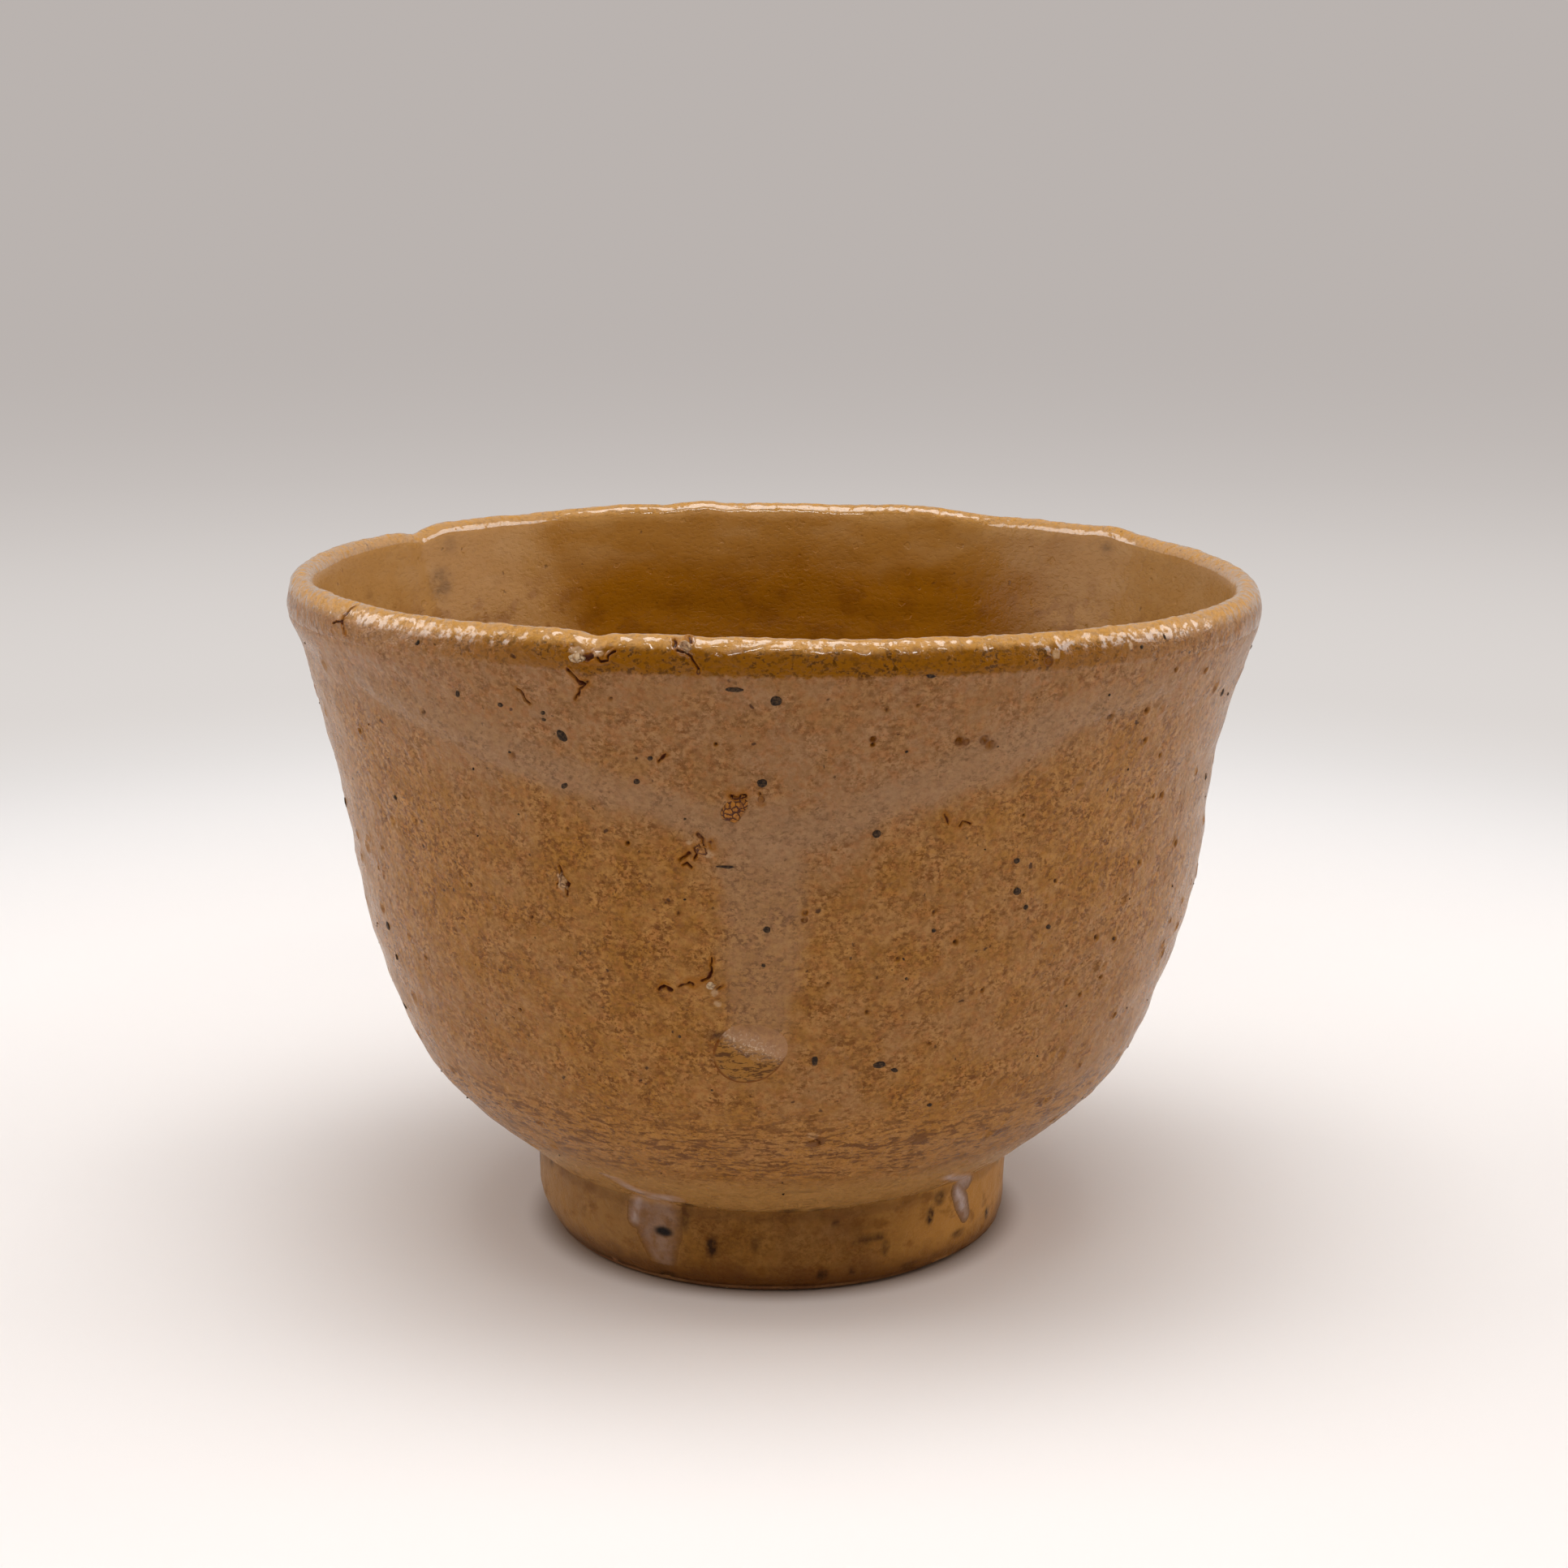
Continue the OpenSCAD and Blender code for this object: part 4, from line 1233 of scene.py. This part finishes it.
def nodeTree(name, inputs, output, nodes, links):
    # nodes as label: (kind, settings, values), links as (from, socket, to, socket)
    tree = bpy.data.node_groups.new(name, "GeometryNodeTree")
    for label, kind in inputs.items():
        tree.interface.new_socket(label, in_out="INPUT", socket_type="NodeSocket" + kind)
    tree.interface.new_socket(output, in_out="OUTPUT", socket_type="NodeSocketGeometry")
    made = {"given": tree.nodes.new("NodeGroupInput"), "result": tree.nodes.new("NodeGroupOutput")}
    for label, (kind, settings, values) in nodes.items():
        made[label] = tree.nodes.new(kind)
        for key, value in settings.items():
            setattr(made[label], key, value)
        for key, value in values.items():
            made[label].inputs[key].default_value = value
    for source, out, target, into in links:
        tree.links.new(made[source].outputs[out], made[target].inputs[into])
    return tree


def treeMesh(source, tree, values):
    # the plain mesh that a node tree makes of an object, with the tree's inputs set by name
    scene.collection.objects.link(source)
    modifier = source.modifiers.new(tree.name, "NODES")
    modifier.node_group = tree
    for item in tree.interface.items_tree:
        if item.item_type == "SOCKET" and item.in_out == "INPUT" and item.name in values:
            modifier[item.identifier] = values[item.name]
    depsgraph = bpy.context.evaluated_depsgraph_get()
    mesh = bpy.data.meshes.new_from_object(source.evaluated_get(depsgraph))
    bpy.data.objects.remove(source)
    return mesh


# Turns the section that it is given round the upright axis, as a wheel does
wheel = nodeTree("wheelTurned", {
    "Section": "Geometry", "Columns": "Int", "Rows": "Int", "Finish": "Material",
}, "Turned", {
    "line": ("GeometryNodeMeshToCurve", {}, {}),
    "grid": ("GeometryNodeMeshGrid", {}, {"Size X": 1, "Size Y": 1}),
    "where": ("GeometryNodeInputPosition", {}, {}),
    "parts": ("ShaderNodeSeparateXYZ", {}, {}),
    "along": ("ShaderNodeMath", {"operation": "ADD"}, {1: 0.5}),
    "sample": ("GeometryNodeSampleCurve", {"mode": "FACTOR", "use_all_curves": True}, {}),
    "turn": ("ShaderNodeMath", {"operation": "MULTIPLY"}, {1: 2 * math.pi}),
    "spin": ("ShaderNodeVectorRotate", {"rotation_type": "Z_AXIS"}, {}),
    "move": ("GeometryNodeSetPosition", {}, {}),
    "weld": ("GeometryNodeMergeByDistance", {}, {"Distance": 1e-4}),
    "whole": ("GeometryNodeRealizeInstances", {}, {}),
    "coat": ("GeometryNodeSetMaterial", {}, {}),
}, [
    ("given", "Section", "line", "Mesh"), ("given", "Columns", "grid", "Vertices X"),
    ("given", "Rows", "grid", "Vertices Y"), ("where", 0, "parts", 0), ("parts", "Y", "along", 0),
    ("line", 0, "sample", "Curves"), ("along", 0, "sample", "Factor"), ("parts", "X", "turn", 0),
    ("sample", "Position", "spin", "Vector"), ("turn", 0, "spin", "Angle"),
    ("grid", "Mesh", "move", "Geometry"), ("spin", 0, "move", "Position"), ("move", 0, "weld", "Geometry"),
    ("weld", 0, "whole", 0), ("whole", 0, "coat", "Geometry"), ("given", "Finish", "coat", "Material"),
    ("coat", 0, "result", 0),
])


def swayed(points):
    # a true turned mesh given the cup's own departures from round
    az, r, z = polar(points)
    r = r + outOfRound(az, z) * smooth(*wobble["middle"], r)
    r = r - wornEdge(az, z) * smooth(cup["boreR"] + 1, cup["footR"] - 1, r)
    return upright(az, r, z + rimRise(az, z))


def turnedPiece(name, section, plan, shape):
    # section in mm, as radius and height, closed
    line = bpy.data.meshes.new(name + "Section")
    line.from_pydata([(r, 0, z) for r, z in section], [(k, k + 1) for k in range(len(section) - 1)], [])
    source = bpy.data.objects.new(name + "Source", line)
    columns, rows = plan["cut"]
    mesh = treeMesh(source, wheel, {"Columns": columns + 1, "Rows": rows, "Finish": finish["bareClay"]})
    points = np.empty(len(mesh.vertices) * 3, np.float32)
    mesh.vertices.foreach_get("co", points)
    points = shape(points.reshape(-1, 3).astype(float))
    faces = [list(p.vertices) for p in mesh.polygons]
    makePiece(name, "bareClay", points * mm, faces, {})


# The bare ring under the bowl
ring = {
    "cut": (240, 150),
    "top": 0.3,               # its top lies this far below the joint
    "round": 0.6,             # outer edge
    "bevel": 0.6,             # inner edge
    "rough": (0.1, 2.4),      # amount and size
    "fine": (0.03, 0.8),
    "topFade": (6.2, 5.2),    # heights between which the sides are rough
    "lowFade": (0.05, 0.7),
}


def ringSection():
    outer = cup["footR"] - foot["glazeT"]
    base = cup["footR"] - cup["footTaper"] - foot["glazeT"]
    top = cup["footZ"] - ring["top"]
    half, bore = ring["round"], cup["boreR"]
    quarter = np.linspace(0, math.pi / 2, 9)
    edge = [(base - half * (1 - math.cos(a)), half * (1 - math.sin(a))) for a in quarter]
    inner = [(bore + ring["bevel"], 0), (bore, ring["bevel"]), (bore, top)]
    return [(outer, top)] + edge + inner + [(outer, top)]


def ringShape(points):
    r, z = polar(points)[1:]
    rough = sum(amount * lumpy(points, size, seed)
                for (amount, size), seed in ((ring["rough"], 8), (ring["fine"], 9)))
    rough = rough * smooth(*ring["topFade"], z) * smooth(*ring["lowFade"], z)
    moved = swayed(points)
    moved[:, :2] += points[:, :2] / np.maximum(r, 1)[:, None] * rough[:, None]
    return moved


turnedPiece("foot_ring", ringSection(), ring, ringShape)

# The clay under the coats, with the turned spiral that shows inside the foot
clay = {
    "cut": (220, 420),
    "hidden": 0.32,           # this far below the coats' outer face
    "seat": (0.5, 0.05),      # in and down from the joint
    "bossGap": 0.25,          # between boss and ring
    "spiral": 0.12,
    "spiralPitch": 2.3,
    "rough": (0.06, 1.6),
    "middle": (0.4, 2.5),     # radii over which the spiral starts and ends
    "edge": (13.4, 12.4),
}


def claySection():
    hidden = cup["glazeT"] + clay["hidden"]
    keep = sectionRun >= runJoint - 1e-6
    line = (sectionLine[keep] - sectionOut[keep] * hidden)[::4].tolist()
    seatZ = cup["footZ"] - clay["seat"][1]
    line[0] = [cup["footR"] - clay["seat"][0], seatZ]
    bossR = cup["boreR"] - clay["bossGap"]
    boss = [(0, cup["bossZ"]), (bossR, cup["bossZ"]), (bossR, seatZ)]
    return line + [(0, cup["floorZ"] - hidden)] + boss + [tuple(line[0])]


def clayShape(points):
    az, r, z = polar(points)
    boss = (z < cup["bossZ"] + 0.2) & (r < cup["boreR"])
    amount, size = clay["rough"]
    wave = np.sin(2 * math.pi * r / clay["spiralPitch"] + az)
    spiral = clay["spiral"] * wave * smooth(*clay["middle"], r)
    height = (spiral + amount * lumpy(points, size, 10)) * smooth(*clay["edge"], r)
    moved = swayed(points)
    moved[:, 2] += np.where(boss, height, 0)
    return moved


turnedPiece("clay_bowl", claySection(), clay, clayShape)

# The pale run and the bead at its end, in mm
paleRun = {
    "thick": 0.11,
    "edge": 0.3,          # where it starts to rise, past its edge
    "slope": 2.2,         # and is at its full height, inside its edge
    "round": 1,
    "sink": 0.04,
    "deep": 0.16,
    "step": 0.26,
    "az": (-0.98, 1.02),
    "z": (13.5, 50),
}
bead = {
    "thick": 0.34,
    "edge": 0.1,
    "slope": 0.9,
    "round": 0.7,
    "sink": 0.05,
    "deep": 0.16,
    "step": 0.12,
    "slant": 0.16,
    "across": marks["bead"][2] / wallScale,
    "along": marks["bead"][3] / wallScale,
    "az": (beadSpot[0] - 0.14, beadSpot[0] + 0.14),
    "run": (beadSpot[1] - 3.2, beadSpot[1] + 3.2),
}


def beadEdge(az, run):
    x = (az - beadSpot[0]) * radiusAt(beadSpot[1]) / bead["across"]
    y = (run - beadSpot[1]) / bead["along"]
    return (np.hypot(x, y - bead["slant"] * x) - 1) * bead["along"]


def beadMasks(az, run):
    # distance to its edge, and mm below the slanting line of frost that crosses it
    order = np.argsort(frostLine[:, 0])
    frost = np.interp(az, frostLine[order, 0], frostLine[order, 1])
    return {"beadEdge": beadEdge(az, run), "underFrost": frost - run}


patchShell("glaze_swag", "paleGlaze", paleRun, paleRun["az"], runAtHeight(paleRun["z"]), runShare)
patchShell("run_bead", "beadGlaze", bead, bead["az"], bead["run"], beadEdge, beadMasks)

# Milky drips over the joint on to the foot, in mm
drips = {
    "thick": 0.08,
    "edge": 0.45,
    "slope": 1.3,
    "round": 1,
    "sink": 0.02,
    "deep": 0.2,
    "step": 0.14,
    "az": (-0.8, 1.1),
    "run": (1.6, runJoint + 5),
    # lines of pixel x, y and half width in pixels, each with its share of milk
    "lines": [([(748, 1446, 19), (778, 1463, 23), (804, 1474, 25), (832, 1477, 21)], 0.6),
              ([(786, 1478, 18), (782, 1502, 16)], 0.6),
              ([(808, 1488, 42), (811, 1515, 40), (816, 1548, 26)], 0.2),
              ([(1168, 1450, 17), (1190, 1453, 19)], 0.95),
              ([(1178, 1466, 14), (1184, 1480, 18), (1189, 1496, 14)], 0.95)],
    "soft": (0.05, -1.1),         # past the line's edge, where the milk fades
    "ironSpot": (818, 1517),      # pixel
    "ironHalf": (0.82, 0.52),
}
dripLines = [(castLine(line), share) for line, share in drips["lines"]]
ironSpot = castPixel(drips["ironSpot"])


def dripEdge(az, run):
    return np.minimum.reduce([farFromLine(az, run, line) for line, share in dripLines])


def dripMasks(az, run):
    milk = [share * smooth(*drips["soft"], farFromLine(az, run, line)) for line, share in dripLines]
    wide, tall = drips["ironHalf"]
    iron = np.hypot(farFrom(az, run, ironSpot) / wide, (run - ironSpot[1]) / tall)
    return {"milk": np.maximum.reduce(milk), "ironSpot": smooth(1.3, 0.5, iron)}


patchShell("foot_drips", "dripGlaze", drips, drips["az"], drips["run"], dripEdge, dripMasks)

# Stones burst through the glaze: pixel, half sizes across, up and out in mm, turn in degrees, amber share
stones = {
    "lip_stones": [((712, 811), (0.62, 0.36, 0.5), 20, 0.0), ((845, 797), (0.5, 0.36, 0.5), -25, 0.2)],
    "wall_stones": [((904, 998), (0.8, 1.3, 0.5), -36, 1.0), ((864, 1046), (0.66, 0.5, 0.36), -30, 0.85),
                    ((694, 1085), (0.36, 0.7, 0.34), 18, 0.5), ((876, 1213), (0.42, 0.4, 0.36), 10, 0.0)],
    "sink": 0.24,
    "rough": 0.22,      # shares of the size
    "fine": 0.1,
}


def wallAxes(az, run):
    # point and axes on the coat: right, up, out
    a = np.array([az, az + 1e-3, az])
    u = np.array([run, run, run + 0.03])
    height = coatRelief(a, u)[0]
    p = place(a, u, np.full(3, height[0]))
    right = Vector(p[1] - p[0]).normalized()
    up = Vector(p[2] - p[0]).normalized()
    return Vector(p[0]), right, up, right.cross(up).normalized()


def stonePiece(name):
    points, faces, amber = [], [], []
    for k, (pixel, half, turn, share) in enumerate(stones[name]):
        ball = bmesh.new()
        bmesh.ops.create_icosphere(ball, subdivisions=3, radius=1)
        spot, right, up, out = wallAxes(*castPixel(pixel))
        spot = spot - out * stones["sink"] * mm
        c, s = math.cos(math.radians(turn)), math.sin(math.radians(turn))
        base = len(points)
        for v in ball.verts:
            rough = 1 + stones["rough"] * noise.noise(v.co * 1.7 + Vector((k, 5, 2)))
            rough += stones["fine"] * noise.noise(v.co * 4 + Vector((k, 1, 8)))
            x, y, z = (h * size for h, size in zip(v.co * rough, half))
            points.append(spot + (right * (x * c - y * s) + up * (x * s + y * c) + out * z) * mm)
            amber.append(share)
        faces += [[base + v.index for v in f.verts] for f in ball.faces]
        ball.free()
    makePiece(name, "feldspar", np.array([list(p) for p in points]), faces, {"amberStone": amber})


for name in ("lip_stones", "wall_stones"):
    stonePiece(name)

# Iron specks in the glaze: pixel, across and up in mm, turn in degrees; the rest scattered
specks = {
    "seen": [((693, 906), 0.72, 1.0, 10), ((696, 967), 0.7, 0.36, 15), ((905, 850), 1.25, 0.36, -6),
             ((956, 864), 0.8, 0.8, 0), ((939, 964), 0.7, 0.66, 0), ((785, 962), 0.5, 0.4, 30),
             ((565, 854), 0.6, 0.36, 20), ((617, 868), 0.42, 0.36, 0), ((670, 877), 0.4, 0.3, 0),
             ((671, 886), 0.34, 0.3, 0), ((488, 982), 0.4, 0.36, 0), ((801, 934), 0.4, 0.3, 20),
             ((945, 1145), 0.62, 0.6, 0), ((1080, 1027), 0.6, 0.6, 0), ((1004, 1307), 0.44, 0.92, 5),
             ((1083, 1312), 0.9, 0.6, 20), ((1102, 1319), 0.6, 0.36, -10), ((941, 1189), 0.3, 0.3, 0),
             ((1147, 833), 0.7, 0.26, 8), ((1145, 1361), 0.4, 0.36, 0), ((1406, 797), 0.34, 0.3, 0),
             ((1434, 785), 0.4, 0.34, 0), ((514, 792), 0.44, 0.3, 0), ((1253, 1061), 0.55, 0.45, 0),
             ((1253, 1098), 0.66, 0.55, 20), ((1263, 1117), 0.42, 0.36, 0), ((1292, 1142), 0.5, 0.36, 30),
             ((894, 1068), 1.6, 0.2, -8), ((1150, 1146), 0.34, 0.3, 0)],
    # count, size, azimuth, height, least share of the size that it is tall
    "scattered": [(46, (0.35, 0.95), (62, 298), (9, 50), 0.4),
                  (70, (0.14, 0.26), (-180, 180), (9, 49), 0.6)],
    "turn": (-30, 30),
    "thick": 0.07,
    "ragged": 0.17,
    "raggedScale": 3400,    # to a metre
    "sink": 0.02,           # into the pale run
    "seed": 23,
}


def ownValue(name, kind="FLOAT"):
    return "GeometryNodeInputNamedAttribute", {"data_type": kind}, {"Name": name}


# A flattened grain on each point, turned to the wall
grainTree = nodeTree("ironSpecks", {
    "Points": "Geometry", "Thickness": "Float", "Ragged": "Float", "Finish": "Material",
}, "Specks", {
    "out": ownValue("out", "FLOAT_VECTOR"),
    "across": ownValue("across"),
    "tall": ownValue("tall"),
    "turn": ownValue("turn"),
    "stand": ("FunctionNodeAlignRotationToVector", {"axis": "Z"}, {}),
    "twist": ("FunctionNodeAxisAngleToRotation", {}, {"Axis": (0, 0, 1)}),
    "facing": ("FunctionNodeRotateRotation", {"rotation_space": "LOCAL"}, {}),
    "half": ("ShaderNodeCombineXYZ", {}, {}),
    "grain": ("GeometryNodeMeshIcoSphere", {}, {"Subdivisions": 2}),
    "put": ("GeometryNodeInstanceOnPoints", {}, {}),
    "whole": ("GeometryNodeRealizeInstances", {}, {}),
    "rough": ("ShaderNodeTexNoise", {"noise_dimensions": "3D"}, {"Scale": specks["raggedScale"]}),
    "centred": ("ShaderNodeVectorMath", {"operation": "SUBTRACT"}, {1: (0.5, 0.5, 0.5)}),
    "scaled": ("ShaderNodeVectorMath", {"operation": "SCALE"}, {}),
    "nudge": ("GeometryNodeSetPosition", {}, {}),
    "round": ("GeometryNodeSetShadeSmooth", {}, {}),
    "coat": ("GeometryNodeSetMaterial", {}, {}),
}, [
    ("out", 0, "stand", "Vector"), ("turn", 0, "twist", "Angle"), ("stand", 0, "facing", "Rotation"),
    ("twist", 0, "facing", "Rotate By"), ("across", 0, "half", "X"), ("tall", 0, "half", "Y"),
    ("given", "Thickness", "half", "Z"), ("given", "Points", "put", "Points"),
    ("grain", "Mesh", "put", "Instance"), ("facing", 0, "put", "Rotation"), ("half", 0, "put", "Scale"),
    ("put", 0, "whole", 0), ("rough", 1, "centred", 0), ("centred", 0, "scaled", 0),
    ("given", "Ragged", "scaled", "Scale"), ("whole", 0, "nudge", "Geometry"),
    ("scaled", 0, "nudge", "Offset"), ("nudge", 0, "round", "Geometry"), ("round", 0, "coat", "Geometry"),
    ("given", "Finish", "coat", "Material"), ("coat", 0, "result", 0),
])


def ironSpecks():
    rng = np.random.default_rng(specks["seed"])
    grains = [(*castPixel(p), across, tall, turn) for p, across, tall, turn in specks["seen"]]
    for count, sizes, turns, heights, flat in specks["scattered"]:
        for k in range(count):
            size = rng.uniform(*sizes)
            grains.append((math.radians(rng.uniform(*turns)), runAtHeight(rng.uniform(*heights)), size,
                           size * rng.uniform(flat, 1), rng.uniform(*specks["turn"])))
    az, run, across, tall, turn = np.array(grains).T
    rise = smooth(paleRun["edge"], -paleRun["slope"], runShare(az, run))
    over = paleRun["thick"] * rise - specks["sink"]
    spots = [wallAxes(g[0], g[1]) for g in grains]
    points = [spot + out * max(high, 0) * mm for (spot, right, up, out), high in zip(spots, over)]
    mesh = bpy.data.meshes.new("speckPoints")
    mesh.from_pydata([tuple(p) for p in points], [], [])
    outward = mesh.attributes.new("out", "FLOAT_VECTOR", "POINT")
    outward.data.foreach_set("vector", [c for s in spots for c in s[3]])
    own = {"across": across * mm / 2, "tall": tall * mm / 2, "turn": np.radians(turn)}
    for name, values in own.items():
        mesh.attributes.new(name, "FLOAT", "POINT").data.foreach_set("value", values.tolist())
    source = bpy.data.objects.new("speckPoints", mesh)
    made = treeMesh(source, grainTree, {"Thickness": specks["thick"] * mm, "Ragged": specks["ragged"] * mm,
                                        "Finish": finish["ironSpeck"]})
    piece = bpy.data.objects.new("iron_specks", made)
    scene.collection.objects.link(piece)
    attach(piece, "root")
    print("made iron_specks with", len(made.polygons), "faces on", len(grains), "points")


ironSpecks()

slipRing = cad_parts["lute_slip"]
slipRing.data.materials.clear()
slipRing.data.materials.append(finish["slipClay"])

# Stage: a white dish that rises all round, greyer away from the cup as painted fall-off of light; sizes in
# m, distances to the cup in mm
stage = {
    "columns": 128,
    "floorR": 0.42,
    "wallR": 1.25,
    "wallZ": 1.6,
    "white": (0.905, 0.88, 0.872, 1),
    "middle": (0.72, 0.68, 0.655, 1),
    "middleR": (110, 230),
    "grey": (0.49, 0.45, 0.43, 1),
    "greyR": (190, 640),
    "dark": (0.07, 0.066, 0.062, 1),
    "darkR": (240, 420),
    "darkY": (-60, -320),
    "near": (0.83, 0.785, 0.76, 1),
    "shadeFadeR": (21, 48),         # painted shade on the paper, paling outwards
    # colour of the painted shadow at the foot
    "brown": (0.32, 0.22, 0.155, 1),
    "paintedShadowR": (17.0, 20.4),   # painted contact shadow, darkening towards the foot
    "plainR": (95, 190),       # lit paper gives way to the glowing grey with its painted fall-off of light
}


def studioPaper():
    # lit paper that takes the shadow near the cup, with painted shade darkening it towards the foot, and a
    # plain glowing grey beyond it that paints the light's fall-off; a painted dark reflection behind the
    # camera
    paint = Paint("studioPaper")
    flat = paint.node("ShaderNodeVectorMath", {"operation": "MULTIPLY"}, {0: paint.place, 1: (1, 1, 0.6)})
    away = paint.node("ShaderNodeVectorMath", {"operation": "LENGTH"}, {0: flat}, out="Value")
    front = paint.along("Y").step(*stage["darkY"])
    mirrored = paint.node("ShaderNodeLightPath", out="Is Glossy Ray")
    # painted fall-off of light: the glowing backdrop goes greyer away from the cup, and mirrored rays see a
    # painted dark reflection in front
    colour = paint.mixed(away.step(*stage["middleR"]), stage["white"], stage["middle"])
    colour = paint.mixed(away.step(*stage["greyR"]), colour, stage["grey"])
    colour = paint.mixed(mirrored * front * away.step(*stage["darkR"]), colour, stage["dark"])
    # painted shade on the paper round the cup, darkest at the foot as a painted contact shadow
    paper = paint.mixed(away.step(*stage["shadeFadeR"]), stage["near"], stage["white"])
    paper = paint.mixed(away.step(*stage["paintedShadowR"]), stage["brown"], paper)
    lit = paint.node("ShaderNodeBsdfDiffuse", None, {"Color": paper})
    plain = paint.node("ShaderNodeEmission", None, {"Color": colour, "Strength": 1.0})
    seen = paint.node("ShaderNodeLightPath", out="Is Camera Ray").most(mirrored)
    shown = paint.node("ShaderNodeMixShader", None,
                       {0: seen * away.step(*stage["plainR"]), 1: lit, 2: plain})
    paint.node("ShaderNodeOutputMaterial", None, {0: shown}, out=None)
    return paint.material


def makeStage():
    bend = stage["wallR"] - stage["floorR"]
    section = [(r, 0.0) for r in np.linspace(0.02, stage["floorR"], 16)]
    section += [(stage["floorR"] + bend * math.sin(t), bend * (1 - math.cos(t)))
                for t in np.linspace(0, math.pi / 2, 24)[1:]]
    section += [(stage["wallR"], z) for z in np.linspace(bend, stage["wallZ"], 6)[1:]]
    sheet = bmesh.new()
    count = stage["columns"]
    turns = [2 * math.pi * k / count for k in range(count)]
    rings = [[sheet.verts.new((r * math.sin(a), -r * math.cos(a), z)) for a in turns] for r, z in section]
    middle = sheet.verts.new((0, 0, 0))
    for k in range(count):
        j = (k + 1) % count
        sheet.faces.new((middle, rings[0][j], rings[0][k]))
        for low, high in zip(rings, rings[1:]):
            sheet.faces.new((low[k], low[j], high[j], high[k]))
    bmesh.ops.recalc_face_normals(sheet, faces=sheet.faces)
    mesh = bpy.data.meshes.new("studioDish")
    sheet.to_mesh(mesh)
    sheet.free()
    mesh.polygons.foreach_set("use_smooth", [True] * len(mesh.polygons))
    mesh.materials.append(studioPaper())
    dish = bpy.data.objects.new("studioDish", mesh)
    scene.collection.objects.link(dish)


# Light: a thin strip in front for the lip's glints, a soft box overhead, one on each side, and a dim room
light = {
    "aim": (0, 0, 0.03),
    "room": (0.36, 0.352, 0.35),
    # place and size in m, watts, colour
    "lamps": {
        "strip": ((0.05, -0.3, 0.4), (0.5, 0.016), 0.29, (1, 0.985, 0.96)),
        "top": ((0.0, -0.03, 0.46), (0.34, 0.28), 1.03, (1, 0.985, 0.96)),
        "left": ((-0.5, 0.04, 0.3), (0.4, 0.4), 1.2, (1, 0.97, 0.94)),
        "right": ((0.5, 0.06, 0.3), (0.4, 0.4), 1.2, (1, 0.97, 0.94)),
    },
}


def makeLights():
    for name, (at, size, watts, colour) in light["lamps"].items():
        lamp = bpy.data.lights.new(name + "Lamp", "AREA")
        lamp.shape = "RECTANGLE"
        lamp.size, lamp.size_y = size
        lamp.energy = watts
        lamp.color = colour
        box = bpy.data.objects.new(name + "Lamp", lamp)
        box.location = at
        box.rotation_euler = (Vector(light["aim"]) - Vector(at)).to_track_quat("-Z", "Y").to_euler()
        scene.collection.objects.link(box)
    world = bpy.data.worlds.new("room")
    world.use_nodes = True
    world.node_tree.nodes["Background"].inputs[0].default_value = (*light["room"], 1)
    scene.world = world


makeStage()
makeLights()
print("stage and lights ready")
